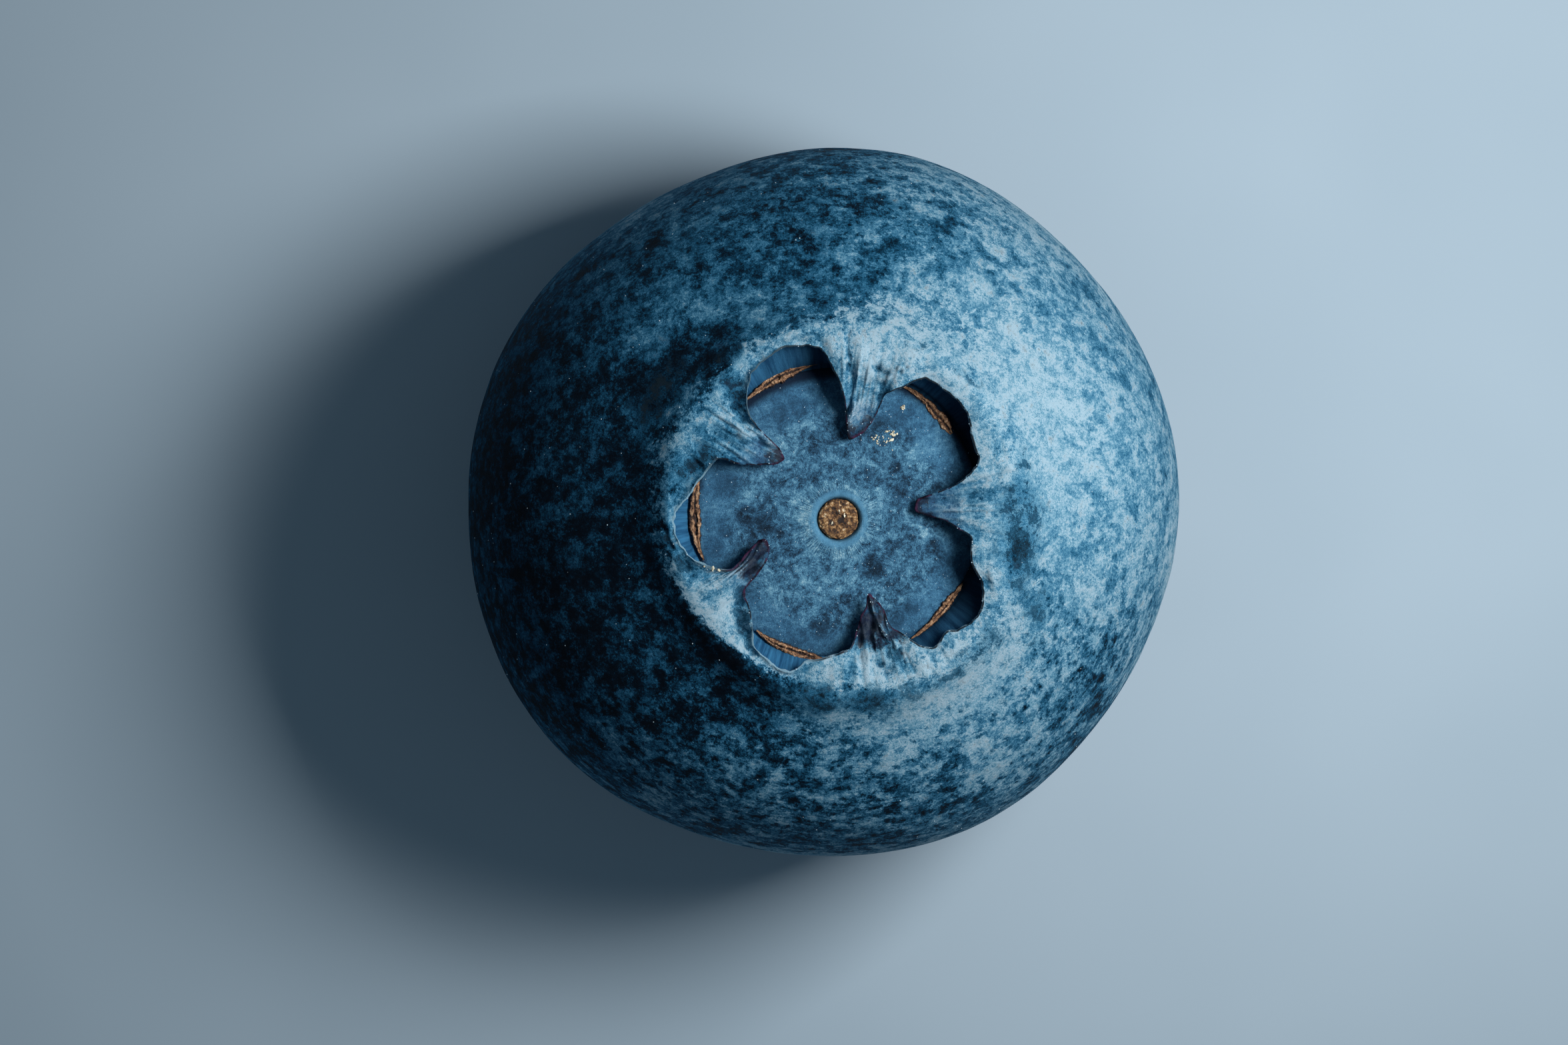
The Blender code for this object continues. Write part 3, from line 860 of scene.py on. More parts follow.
def wall_colour(look, place, painted_wall_shade):
    """The inner wall, with fine streaks down it and painted shade under the lip on the crown's right."""
    streaks, _ = look.spokes(place, 190, 0.4)
    fibres = look.noise(streaks, 1.0, 4, 0.7, 0.2)
    wall = look.blend(look.step(fibres, 0.30, 0.72), WALL_SHADE, WALL_BLUE)
    return look.blend(painted_wall_shade * 0.95, wall, WALL_SHADOW_COLOUR)


def lip_colour(look, place, pale, sepal):
    """The lip's edge: brown, here and there magenta on the sepals, or pale round the windows."""
    purple = look.step(sepal, 0.1, 0.5) * look.step(look.noise(place, *SOFT_PATCHES), 0.44, 0.58)
    dark = look.blend(purple, BROWN_EDGE, MAGENTA_EDGE)
    return look.blend(look.step(pale, 0.2, 0.95), dark, PALE_EDGE)


def skin_look(style):
    look = Look("blueberry_bloom", style)
    place = look.from_style
    bloom, collar, thick, inside, painted_wall_shade, smudge_and_shade = look.facts(
        "bloom", "collar", "collar_bloom", "inside", "painted_wall_shade", "smudge_and_shade"
    )
    mottled, streaked, rim, fold, pale, sepal, tip = look.facts(
        "mottled", "streaked", "rim", "fold", "pale_rim", "sepal", "tip"
    )
    bent = look.bent(place, 0.9, 0.11)
    patches, clouds, lace = (look.swings(bent, *pattern) for pattern in (PATCHES, CLOUDS, LACE))
    grain, dust = look.swings(place, *GRAIN), look.swings(place, *DUST)
    flakes = look.step(look.noise(bent, *FLAKES), 0.455, 0.535) - 0.5
    strokes = look.noise(look.bands(bent, STROKES_AROUND, STROKES_ALONG), *STROKES)
    strokes = look.step(strokes, 0.44, 0.55) - 0.5
    spots = look.fall(look.cells(bent, 3.8) + grain * 0.5, 0.06, 0.36)
    specks = look.fall(look.cells(bent, 9.0), 0.06, 0.32)
    flecks = look.fall(look.noise(bent, *FLECKS) + clouds * 0.25, 0.38, 0.46)
    # The bloom of the body, or that of the collar within its ragged edge. The folds' height adds painted
    # light on their ribs and painted shade in their furrows.
    edge = look.step(collar + lace * 4.5 + flakes * 0.5 + patches, -0.5, 0.5)
    body = bloom + patches * (0.25 + mottled * 0.5)
    crown = thick - 0.03 + sepal * (0.70 - thick)
    amount = body + edge * (crown - body) + fold * 1.5
    # The same, uneven at every size, rubbed off in spots and flecks, and darkened by grey-brown smudges
    # and by painted shade in the collar's hollows.
    uneven = 1 - look.step(amount, 0.66, 1.05) * 0.22
    smudged_and_shaded = look.step(smudge_and_shade * 0.9 + lace * 5.0 + flakes * 0.8 + grain * 1.6, 0.36, 0.80)
    smudged_and_shaded = smudged_and_shaded * look.step(smudge_and_shade, 0.03, 0.25)
    varied = clouds * (0.38 + mottled * 0.60) + lace * 1.55 + flakes * (0.17 + mottled * 0.14)
    varied = varied + strokes * (streaked * 0.20 + mottled * 0.06)
    amount = amount + varied * uneven - smudged_and_shaded * 0.42
    amount = amount - mottled * (spots * 0.22 + specks * 0.16) * (1 - edge * 0.6) + mottled * 0.03
    amount = amount - look.step(amount, 0.80, 1.20) * mottled * (1 - edge) * 0.22
    amount = amount - flecks * (0.08 + edge * 0.16) + 0.02 + grain * 0.95 + dust * 0.60
    skin = look.blend(smudged_and_shaded * 0.32, look.ramp(amount, BLOOM_COLOURS), SMUDGE_AND_SHADE_GREY)
    # The sepals, mauve on their way to a dark tip that is painted lighter on the ribs, and painted shade
    # in the furrows.
    outside = 1 - inside
    mauve = 0.14 + look.step(look.noise(bent, 3.0, 4, 0.7), 0.35, 0.65) * 0.26
    skin = look.blend(look.step(sepal, 0.10, 0.75) * mauve * outside, skin, SEPAL_MAUVE)
    dark = look.step(tip + lace * 3.4 + flakes * 0.25 - fold * 2.4, 0.28, 0.95) * 0.88
    skin = look.blend(dark * outside, skin, SEPAL_TIP)
    skin = look.blend(look.step(fold + lace * 0.35, -0.22, -0.03, 0.62, 0.0) * outside, skin, FURROW_PAINTED_SHADE)
    skin = look.blend(inside, skin, wall_colour(look, place, painted_wall_shade))
    whole = look.step(look.noise(place, 5.0, 4, 0.7) + pale * 0.12, 0.36, 0.50)
    skin = look.blend(look.step(rim, 0.78, 0.98) * whole * 0.92, skin, lip_colour(look, place, pale, sepal))
    relief = look.bump(lace * 0.7 + grain * 0.9 + dust * 0.7 - spots * mottled * 0.35, 0.040)
    rough = look.step(amount, 0.1, 0.6, 0.55, 0.85)
    return look.finished(base_color=skin, roughness=rough, normal=relief, specular_ior_level=0.05)


# From the darkest to the palest of the floral disc, as (amount, colour).
DISC_COLOURS = (
    (0.0, (0.0035, 0.013, 0.026)), (0.26, (0.012, 0.043, 0.083)), (0.46, (0.034, 0.122, 0.222)),
    (0.66, (0.088, 0.255, 0.395)), (0.86, (0.205, 0.42, 0.55)), (1.0, (0.42, 0.62, 0.7)),
)
# The disc's lighter band and light collar, and the colour of the painted shade in the socket round the style
# scar and in the groove at the disc's edge.
DISC_BAND, DISC_COLLAR, DISC_RECESS_SHADE = (0.050, 0.185, 0.345), (0.105, 0.300, 0.470), (0.004, 0.016, 0.040)
DISC_CLOUDS, DISC_MOTTLE, DISC_FLAKES = (0.9, 5, 0.65), (5.0, 7, 0.84), (4.2, 8, 0.82)
DISC_GRAIN, DISC_DUST, DISC_FLECKS = (21, 5, 0.85), (60, 2, 0.8), (6.5, 7, 0.84)
DISC_FIBRES, DISC_CELLS = (1.0, 3, 0.65, 0.1), 4.2


def disc_look(style):
    look = Look("floral_disc_skin", style)
    place = look.from_style
    [spot] = look.facts("spot")
    streaks, radius = look.spokes(place, 260, 2.0)
    bent = look.bent(place, 1.2, 0.22)
    clouds, mottle = look.swings(bent, *DISC_CLOUDS), look.swings(bent, *DISC_MOTTLE)
    grain, dust = look.swings(place, *DISC_GRAIN), look.swings(place, *DISC_DUST)
    flakes = look.step(look.noise(bent, *DISC_FLAKES), 0.44, 0.54) - 0.5
    flecks = look.fall(look.noise(bent, *DISC_FLECKS), 0.38, 0.46)
    fringe = look.step(radius, 0.60, 0.68) * look.fall(radius, 0.82, 1.05)
    fibres = look.swings(streaks, *DISC_FIBRES) * fringe
    halo = look.fall(radius, 0.72, 1.30)
    band = look.step(radius + clouds * 0.8, 2.15, 2.70)
    small = look.fall(look.cells(bent, DISC_CELLS), 0.10, 0.30)
    small = small * look.step(look.parts(look.cells(bent, DISC_CELLS, "Color"))[1], 0.50, 0.7)
    # Dark spots, one of them a painted shadow beside the top sepal.
    dabbed_and_shadowed = look.step(spot + mottle * 1.5 + clouds * 0.5, 0.32, 0.58)
    amount = 0.47 + (clouds * 1.35 + mottle * 1.95 + flakes * 0.15) * (1 - band * 0.35)
    amount = amount + grain + dust * 0.7 + fibres * 1.1
    amount = amount + halo * 0.20 - dabbed_and_shadowed * 0.21 - small * 0.10 - flecks * 0.12
    skin = look.blend(band * 0.28, look.ramp(amount, DISC_COLOURS), DISC_BAND)
    skin = look.blend(look.fall(radius, 0.58, 0.70) * 0.75, skin, DISC_COLLAR)
    # Painted shade in the socket round the style scar and in the groove at the disc's outer edge.
    skin = look.blend(look.fall(radius, 0.44, 0.50), skin, DISC_RECESS_SHADE)
    skin = look.blend(look.step(radius, 3.02, 3.22), skin, DISC_RECESS_SHADE)
    relief = look.bump(mottle * 0.7 + grain * 0.9 + dust * 0.6 + fibres, 0.032)
    rough = look.step(amount, 0.2, 0.8, 0.50, 0.80)
    return look.finished(base_color=skin, roughness=rough, normal=relief, specular_ior_level=0.22)


# Colours of cork from its pits to its crumbs, and the amounts they stand for.
CORK_AMOUNTS = (0.15, 0.38, 0.62, 0.85)
GOLDEN_CORK = ((0.018, 0.010, 0.008), (0.125, 0.056, 0.022), (0.37, 0.200, 0.080), (0.74, 0.60, 0.42))
GREYISH_CORK = ((0.020, 0.014, 0.012), (0.10, 0.060, 0.040), (0.26, 0.18, 0.12), (0.46, 0.38, 0.29))


def cork_look(name, style, colours, size, pit=(0.0, 0.0)):
    """Cork: pale crumbs between dark pits, with one larger pit."""
    look = Look(name, style)
    place = look.from_style
    lumps = look.noise(place, 2.2 * size, 4, 0.65, 0.4)
    broken = look.bent(place, 3.5 * size, 0.22 / size)
    crumbs = look.cells(broken, 4.4 * size)
    picked = look.parts(look.cells(broken, 4.4 * size, "Color"))[1]
    x, y, _ = look.parts(place)
    from_pit = look.vector("LENGTH", look.vector_of(x - pit[0], y - pit[1], 0.0), output="Value")
    hollow = look.fall(from_pit + lumps * 0.1, 0.09, 0.19)
    amount = lumps + picked * 0.35 - crumbs * 0.5 - hollow * 0.30
    cork = look.ramp(amount, tuple(zip(CORK_AMOUNTS, colours)))
    relief = look.bump(look.noise(place, 12 * size, 3, 0.6), 0.02)
    return look.finished(base_color=cork, roughness=0.72, normal=relief, specular_ior_level=0.35)


# From the cracks to the crests of a stamen scar, as (amount, colour).
HUSK_COLOURS = (
    (0.12, (0.012, 0.007, 0.008)), (0.34, (0.075, 0.034, 0.020)), (0.52, (0.29, 0.140, 0.068)),
    (0.70, (0.58, 0.35, 0.20)), (0.92, (0.85, 0.69, 0.52)),
)


def husk_look():
    """A papery husk: fibres along it, dark down its middle and at its sides."""
    look = Look("papery_husk")
    across, along, width = look.facts("across", "along", "half_width")
    wander = look.swings(look.place, 3.0, 2, 0.5) * 1.1
    fibres = look.noise(look.vector_of((across + wander) * 5, along * 9, 0.0), 1.0, 5, 0.78, 0.5)
    breaks = look.noise(look.place, 9.0, 5, 0.75)
    middle = look.fall(abs(across + wander * 0.7), 0.05, 0.30) * look.step(width, 0.05, 0.10)
    side = look.step(abs(across), 0.66, 0.98)
    amount = fibres * 1.3 + breaks * 1.3 - middle * 0.40 - side * 0.45 - 0.77
    relief = look.bump(fibres * 0.7 + breaks * 0.5, 0.035)
    return look.finished(
        base_color=look.ramp(amount, HUSK_COLOURS), roughness=0.55, normal=relief, specular_ior_level=0.35
    )


def plain_look(name, dark, light, scale, roughness):
    """A finish that wanders between two colours."""
    look = Look(name)
    share = look.step(look.noise(look.place, scale, 3, 0.6), 0.3, 0.7)
    return look.finished(base_color=look.blend(share, dark, light), roughness=roughness)


# Pieces

# Where the bloom is thick (more) or rubbed off (less), with painted light as well: more towards
# the key light on the upper right, less on the left that faces away from it, and a painted bright
# band low round the waist for light from below. Degrees round, degrees up from the waist, how far
# it reaches in degrees, how much.
BLOOM_AND_PAINTED_LIGHT_SPOTS = (
    (20, 48, 24, 0.34), (50, 42, 20, 0.2), (5, 22, 26, 0.16), (345, 52, 10, -0.1), (318, 42, 24, 0.24),
    (300, 50, 12, 0.1), (180, 30, 30, -0.14), (190, 0, 44, -0.1), (150, 48, 9, -0.06), (168, 49, 8, -0.08),
    (184, 47, 8, -0.12), (200, 47, 9, -0.24), (216, 48, 9, -0.32), (232, 50, 8, -0.28), (246, 52, 7, -0.2),
    (208, 38, 12, -0.16), (228, 40, 9, -0.14), (155, 30, 22, -0.04), (128, 54, 7, -0.08),
    (260, 30, 8, -0.08), (350, 12, 22, 0.14), (112, 28, 16, -0.06), (90, 36, 20, 0.02), (94, 40, 7, -0.12),
    (72, 52, 10, 0.1), (246, 30, 16, 0.04), (276, 40, 15, 0.22), (284, 48, 8, 0.1), (300, 30, 14, 0.12),
    (290, 57, 6, -0.12), (55, 2, 26, 0.36), (345, 0, 24, 0.2), (270, -4, 24, 0.32), (306, 16, 9, -0.16),
    (287, 26, 10, -0.2), (122, 0, 18, 0.28), (50, 8, 22, 0.06), (60, 42, 9, 0.12), (105, 44, 10, 0.1),
    (135, 52, 8, 0.12), (180, 51, 10, 0.07), (285, 0, 28, 0.12), (255, 42, 8, -0.08), (285, 42, 7, -0.12),
    (284, 52, 7, 0.1), (305, 51, 9, 0.12), (316, 51, 8, 0.1), (330, 42, 8, 0.08), (330, 22, 10, -0.12),
    (347, 42, 9, 0.12), (0, 52, 9, 0.08), (45, 34, 9, -0.08), (240, 0, 20, 0.1), (300, 12, 10, 0.08),
    (288, 34, 12, -0.14), (272, 24, 12, -0.08), (262, 44, 9, -0.08), (316, 40, 9, -0.09),
    (330, 29, 9, -0.1), (312, 24, 13, -0.06), (268, 22, 14, -0.08), (0, 42, 8, -0.1), (48, 32, 8, -0.06),
    (145, 43, 4.0, -0.18), (134, 46.5, 3.6, -0.22), (124, 51, 3.4, -0.16), (122, 40, 3.6, 0.16),
    (130, 38, 3.6, 0.18), (138, 38.5, 3.4, 0.14), (123, 22, 2.4, -0.3), (127, 20, 2.0, -0.2),
    (84, 29, 2.8, -0.2), (79, 27, 3.0, -0.24), (69, 30, 3.0, -0.22), (130, 13, 5, -0.12),
    (101, 26, 4, -0.12), (58, 45, 3.0, -0.1), (112, 45, 4, 0.1), (160, 40, 6, -0.06), (40, 41, 7, 0.12),
    (255, 50, 9, 0.1), (285, 50, 7, 0.08), (302, 54, 8, 0.1), (316, 52, 9, 0.1), (2, 52, 8, 0.1),
    (120, 15, 16, 0.06), (295, 2, 26, 0.12), (125, 50, 6, -0.08), (98, 31, 12, -0.06),
)
EVEN_BLOOM, LEAST_BLOOM = 0.43, 0.15
# Where dark mottles show in the bloom, in the same way.
MOTTLED_SPOTS = (
    (250, 30, 34, 0.7), (275, 25, 30, 0.4), (318, 30, 24, 0.9), (85, 24, 26, 0.3), (75, 8, 30, 0.3),
    (180, 20, 60, -0.1), (22, 50, 24, -0.6),
)
EVEN_MOTTLING = 0.28
# Where the bloom lies in strokes that run round the fruit, in the same way.
STREAKED_SPOTS = (
    (250, 15, 40, 0.7), (278, 24, 28, 0.6), (335, 14, 26, 0.9), (90, 18, 30, 0.4), (25, 48, 28, -0.3),
)
EVEN_STREAKS = 0.05
# Where the bright bloom of the collar ends, as (degrees, millimetres from the style, how softly).
COLLAR_EDGE = (
    (0, 4.6, 0.9), (40, 5.2, 1.0), (75, 4.9, 0.6), (95, 4.46, 0.4), (108, 4.3, 0.26), (117, 4.34, 0.26),
    (130, 4.2, 0.34), (143, 4.04, 0.4), (152, 4.22, 0.44), (163, 4.2, 0.4), (174, 4.04, 0.32),
    (190, 3.94, 0.24), (208, 3.77, 0.14), (222, 3.69, 0.12), (235, 3.6, 0.12), (245, 3.6, 0.14),
    (256, 3.62, 0.15), (274, 3.62, 0.2), (285, 3.86, 0.34), (300, 4.15, 0.5), (330, 4.4, 0.8),
)
# How thick the collar's bloom is, as (degrees, amount).
COLLAR_BLOOM = (
    (0, 0.8), (25, 0.88), (45, 0.93), (75, 0.9), (98, 0.76), (120, 0.76), (150, 0.67), (175, 0.65),
    (200, 0.75), (215, 0.93), (235, 0.89), (255, 0.83), (275, 0.9), (300, 0.95), (330, 0.84), (350, 0.8),
)
# Where each sepal turns dark towards its tip, as (degrees, millimetres from the style).
DARK_TIPS = (
    (11, 2.2), (45, 2.6), (81, 2.36), (110, 2.4), (134, 2.24), (165, 2.6), (200, 2.66), (245, 2.5),
    (276, 2.7), (285, 3.02), (298, 3.06), (308, 2.5),
)
# How much painted shade darkens the inner wall, strongest on the crown's right where the lip
# overhangs it and it faces away from the key light, as (degrees, share).
WALL_SHADE_BY_ANGLE = (
    (0, 1.0), (35, 1.0), (47, 0.8), (58, 0.45), (80, 0.55), (96, 0.8), (106, 0.5), (125, 0.15), (150, 0.0),
    (240, 0.0), (262, 0.12), (285, 0.3), (302, 0.5), (314, 0.55), (326, 0.9), (345, 1.0),
)
# How pale the lip is round the windows, as (degrees, share).
PALE_RIM = (
    (0, 0.15), (60, 0.1), (95, 0.2), (115, 0.45), (132, 0.5), (150, 0.25), (162, 0.8), (172, 1.0),
    (190, 1.0), (202, 0.5), (215, 0.3), (230, 0.5), (240, 0.95), (254, 0.95), (262, 0.4), (275, 0.1),
    (330, 0.1),
)
# Grey-brown smudges of the collar, and painted shade in its hollows and furrows beside the lip and
# in a band just past its lower edge: (x, y), (x, y), half the width, how strong.
SMUDGE_AND_SHADE_LINES = (
    ((3.98, 0.3), (3.9, -0.5), 0.4, 0.8), ((3.84, -0.6), (3.92, -1.6), 0.32, 0.75),
    ((3.4, -2.45), (2.7, -3.3), 0.2, 0.6), ((-2.36, 3.05), (-2.2, 2.3), 0.15, 0.9),
    ((-3.42, 1.06), (-3.0, 1.52), 0.22, 0.85), ((-2.34, -1.5), (-2.16, -2.05), 0.18, 0.9),
    ((-2.18, -2.05), (-1.99, -2.75), 0.12, 0.9), ((0.98, -2.62), (1.22, -3.12), 0.2, 0.9),
    ((-3.84, -0.25), (-3.4, -1.0), 0.09, 0.7), ((-4.2, 2.6), (-3.55, 3.35), 0.3, 0.6),
    ((-2.9, 3.6), (-2.3, 3.75), 0.16, 0.5), ((4.1, 1.5), (3.95, 0.9), 0.14, 0.5),
    ((1.3, -3.75), (2.5, -3.4), 0.18, 0.6), ((-0.7, -3.85), (1.0, -4.0), 0.32, 0.5),
    ((2.6, 3.3), (3.1, 3.0), 0.16, 0.4), ((1.5, 3.9), (2.2, 3.9), 0.14, 0.3),
    ((4.6, -1.7), (4.2, -2.6), 0.18, 0.5),
)
# The crown is all that lies higher than this. Its sepals and its wrinkles are full up to the first of
# two distances from the style and gone at the second. The skin's lumps are gone at the first of two
# heights, near the flat that it rests on, and full at the second.
CROWN_FOOT = 9
SEPALS, WRINKLED, LUMPY_HEIGHTS = (1.75, 3.3), (3.7, 4.6), (0.25, 1.6)
# How much more dust lies on the lip's edge, and on the crests of the folds, which are this high.
DUST_ON_RIM, DUST_ON_CRESTS, CREST_FOLD = 22, 900, 0.05


def towards(around, up):
    """The direction this many degrees round and this many degrees up."""
    around, up = math.radians(around), math.radians(up)
    return math.cos(up) * math.cos(around), math.cos(up) * math.sin(around), math.sin(up)


def spotted(points, even, spots):
    """An even amount, with more or less of it in spots on the skin."""
    away = points - (0, 0, WAIST_HEIGHT)
    facing = away / np.linalg.norm(away, axis=-1, keepdims=True)
    total = np.full(len(points), even)
    for around, up, reach, amount in spots:
        apart = np.degrees(np.arccos(np.clip(facing @ np.array(towards(around, up)), -1, 1)))
        total += amount * np.exp(-((apart / reach) ** 2))
    return total


def all_round(table, angles, column=1):
    """A column of a table by degrees, read at these angles."""
    places = np.array(table, float)
    return np.interp(angles % 360, places[:, 0], places[:, column], period=360)


def dressed(name, rows, style, facts, look, **sizes):
    """A closed piece through the rows, with its relief."""
    return grown(joined_rows(name, [row + style for row in rows], facts, look), RELIEF, look, **sizes)


def make_skin(crown):
    rows, facts = fruit_rows(crown)
    points = np.concatenate(rows)
    style = (*-(points.min(axis=0) + points.max(axis=0))[:2] / 2, 0)
    angles, radii, high = angle_of(points), radius_of(points), points[:, 2] > CROWN_FOOT
    within = (all_round(COLLAR_EDGE, angles) - radii) / all_round(COLLAR_EDGE, angles, 2)
    sepal = high * (1 - smooth_step(radii, *SEPALS))
    crests = np.maximum(0, facts["fold"] - CREST_FOLD)
    outside = 1 - facts["inside"]
    loose = smooth_step(points[:, 2], *LUMPY_HEIGHTS) * outside
    facts.update({
        "collar": np.where(high, np.clip(within, -1.5, 1.5), -1.5),
        "collar_bloom": all_round(COLLAR_BLOOM, angles),
        "sepal": sepal,
        "tip": high * smooth_step(all_round(DARK_TIPS, angles) - radii, -0.15, 0.40),
        # Painted shade on the inner wall under the lip.
        "painted_wall_shade": all_round(WALL_SHADE_BY_ANGLE, angles),
        # Smudges, and painted shade in the collar's hollows and just past its lower edge.
        "smudge_and_shade": high * folded(points, SMUDGE_AND_SHADE_LINES),
        "wrinkled": high * (1 - smooth_step(radii, *WRINKLED)) * outside,
        "mottled": np.clip(spotted(points, EVEN_MOTTLING, MOTTLED_SPOTS), 0, 1),
        "streaked": np.clip(spotted(points, EVEN_STREAKS, STREAKED_SPOTS), 0, 1),
        # The bloom, with painted light towards the key light and low round the waist, and painted shade on
        # the left.
        "bloom": np.maximum(spotted(points, EVEN_BLOOM, BLOOM_AND_PAINTED_LIGHT_SPOTS), LEAST_BLOOM),
        "pale_rim": all_round(PALE_RIM, angles) * (1 - np.minimum(1, 2 * sepal)),
        "loose": loose,
        "dusty": loose * (1 + DUST_ON_RIM * facts["rim"] + DUST_ON_CRESTS * crests),
    })
    return style, dressed(
        "fruit_skin", rows, style, facts, skin_look(style[:2]), Lump_size=1.9, Lump_height=0.035,
        Wrinkle_size=0.34, Wrinkle_height=0.065, Grain_size=0.30, Grain_height=0.006,
    )


# Dark round spots on the disc, the one at (1.02, 1.95) being a painted shadow beside the top sepal:
# x, y, radius.
DISC_SPOTS_AND_SHADOW = (
    (-1.29, 2.32, 0.2), (-0.87, 2.46, 0.21), (1.35, 2.23, 0.19), (1.6, 2.36, 0.1), (1.23, 1.15, 0.17),
    (1.02, 1.95, 0.34), (1.35, 0.62, 0.18), (-2.02, 0.1, 0.26), (-1.6, -0.12, 0.2), (-2.5, -0.25, 0.16),
    (0.75, -1.07, 0.24), (1.72, -1.34, 0.14), (2.1, -0.6, 0.2), (2.48, -0.95, 0.13), (1.3, -2.2, 0.2),
    (0.8, 1.4, 0.12), (-2.45, 0.75, 0.3), (-2.75, -0.6, 0.22), (1.62, -0.41, 0.09), (1.6, -1.95, 0.18),
    (-0.55, 1.55, 0.15), (-1.0, -1.9, 0.18), (0.15, -1.75, 0.14),
)
DISC_COLUMNS, DISC_ROWS = 480, 92


def disc_rows():
    """The floor of the crown, its edge tucked into the groove, and the pit that the style stood in."""
    angles = np.linspace(0, 360, DISC_COLUMNS, endpoint=False)
    groove = groove_radii(angles)
    places = [(groove - 1.2, 10.98), (groove - 0.30, 10.97), (groove + 0.02, 10.99),
              (groove + 0.015, GROOVE_HEIGHT + 0.02), (groove - 0.07, GROOVE_HEIGHT + 0.075),
              (groove - 0.28, 11.16), *FLOOR, *STYLE_COLLAR, (0.45, 11.02), (0.30, 10.99)]
    rings = [ring(radius, height, angles) for radius, height in places]
    rows = spline_rows(np.array([rings[0], *rings, rings[-1]]), np.linspace(0, len(rings) - 1, DISC_ROWS))
    return [rows[0].mean(0, keepdims=True), *rows, rows[-1].mean(0, keepdims=True)]


def make_disc(style):
    rows = disc_rows()
    points = np.concatenate(rows)
    level = smooth_step(radius_of(points), 0.45, 0.7) * (points[:, 2] > 11.0)
    away = [np.hypot(points[:, 0] - x, points[:, 1] - y) / radius for x, y, radius in DISC_SPOTS_AND_SHADOW]
    facts = {"loose": level, "dusty": level, "spot": 1 - np.clip(np.min(away, axis=0) / 1.7, 0, 1)}
    return dressed(
        "floral_disc", rows, style, facts, disc_look(style[:2]), Lump_size=0.8, Lump_height=0.022,
        Grain_size=0.12, Grain_height=0.004,
    )


# The outlines of the two scars, from the middle of the underside to that of the top, as (radius, height).
STYLE_SCAR = (
    (0.0, 11.0), (0.25, 11.0), (0.43, 11.0), (STYLE_RADIUS, 11.06), (0.44, 11.13), (0.37, 11.165),
    (0.2, 11.16), (0.0, 11.14),
)
STEM_SCAR = (
    (0.0, 0.32), (0.3, 0.31), (0.6, 0.29), (0.80, 0.27), (0.88, 0.34), (0.8, 0.45), (0.5, 0.5), (0.0, 0.5),
)
SCAR_COLUMNS, SCAR_ROWS = 150, 50


def make_scar(name, style, outline, look, **sizes):
    """A round corky scar with this outline."""
    angles = np.linspace(0, 360, SCAR_COLUMNS, endpoint=False)
    rings = [ring(radius, height, angles) for radius, height in outline]
    rings = np.array([rings[1] * (-1, -1, 1), *rings, rings[-2] * (-1, -1, 1)])
    rows = spline_rows(rings, np.linspace(0, len(outline) - 1, SCAR_ROWS))
    rows = [rows[0].mean(0, keepdims=True), *rows[1:-1], rows[-1].mean(0, keepdims=True)]
    facts = {"loose": np.ones(len(np.concatenate(rows)))}
    return dressed(name, rows, style, facts, look, **sizes)


# The stamen scars, each as places along it: degrees, millimetres from the style, half its width.
HUSKS = {
    "top_left": ((97, 3.47, 0.010), (101, 3.45, 0.035), (106, 3.43, 0.10), (110.5, 3.41, 0.15),
                 (115, 3.39, 0.12), (121, 3.36, 0.065), (128, 3.32, 0.020)),
    "top_right": ((66, 3.25, 0.010), (62, 3.26, 0.035), (57, 3.26, 0.065), (50, 3.19, 0.10),
                  (43.5, 3.16, 0.145), (40, 3.14, 0.12), (36.5, 3.12, 0.03)),
    "left": ((158.5, 3.20, 0.008), (163, 3.21, 0.032), (169, 3.20, 0.085), (175, 3.18, 0.115),
             (181, 3.15, 0.150), (186, 3.15, 0.11), (191, 3.15, 0.045), (197.5, 3.09, 0.010)),
    "lower_left": ((233, 3.03, 0.012), (238, 3.06, 0.050), (243, 3.08, 0.095), (249, 3.07, 0.105),
                   (254.5, 3.07, 0.135), (259, 3.09, 0.09), (264, 3.10, 0.025)),
    "lower_right": ((301, 3.10, 0.012), (305, 3.09, 0.032), (310, 3.08, 0.050), (316, 3.06, 0.078),
                    (323, 3.05, 0.112), (328, 3.07, 0.06), (333, 3.10, 0.012)),
}
HUSK_HEIGHT = 11.115
HUSK_PLACES, HUSK_SOFTNESS = 60, 9


def make_husks(style):
    look = husk_look()
    husks = []
    for seed, (where, places) in enumerate(HUSKS.items()):
        at, fine = np.linspace(0, 1, len(places)), np.linspace(0, 1, HUSK_PLACES)
        even = [np.interp(fine, at, values) for values in np.array(places).T]
        padded = [np.pad(values, HUSK_SOFTNESS // 2, mode="edge") for values in even]
        spread = np.full(HUSK_SOFTNESS, 1 / HUSK_SOFTNESS)
        angles, radii, widths = (np.convolve(values, spread, "valid") for values in padded)
        husk = path(f"stamen_scar_{where}", ring(radii, HUSK_HEIGHT, angles) + style, widths)
        husks.append(grown(husk, HUSK, look, Seed=float(seed) * 3.7))
    return husks


def on_disc(points):
    """The height of the disc under each point."""
    radii, heights = zip(*sorted([*FLOOR, *STYLE_COLLAR[:1], (2.9, 11.17), (3.2, 11.06)]))
    return np.interp(np.hypot(points[:, 0], points[:, 1]), radii, heights)


# Crumbs, as clusters: where, how far they spread, how many, and the least and greatest half width.
CRUMBS = (
    ((1.18, 1.82), 0.07, 8, 0.024, 0.046), ((0.82, 1.74), 0.07, 6, 0.020, 0.036),
    ((1.44, 2.45), 0.028, 4, 0.028, 0.044), ((1.00, 1.80), 0.16, 12, 0.008, 0.018),
)
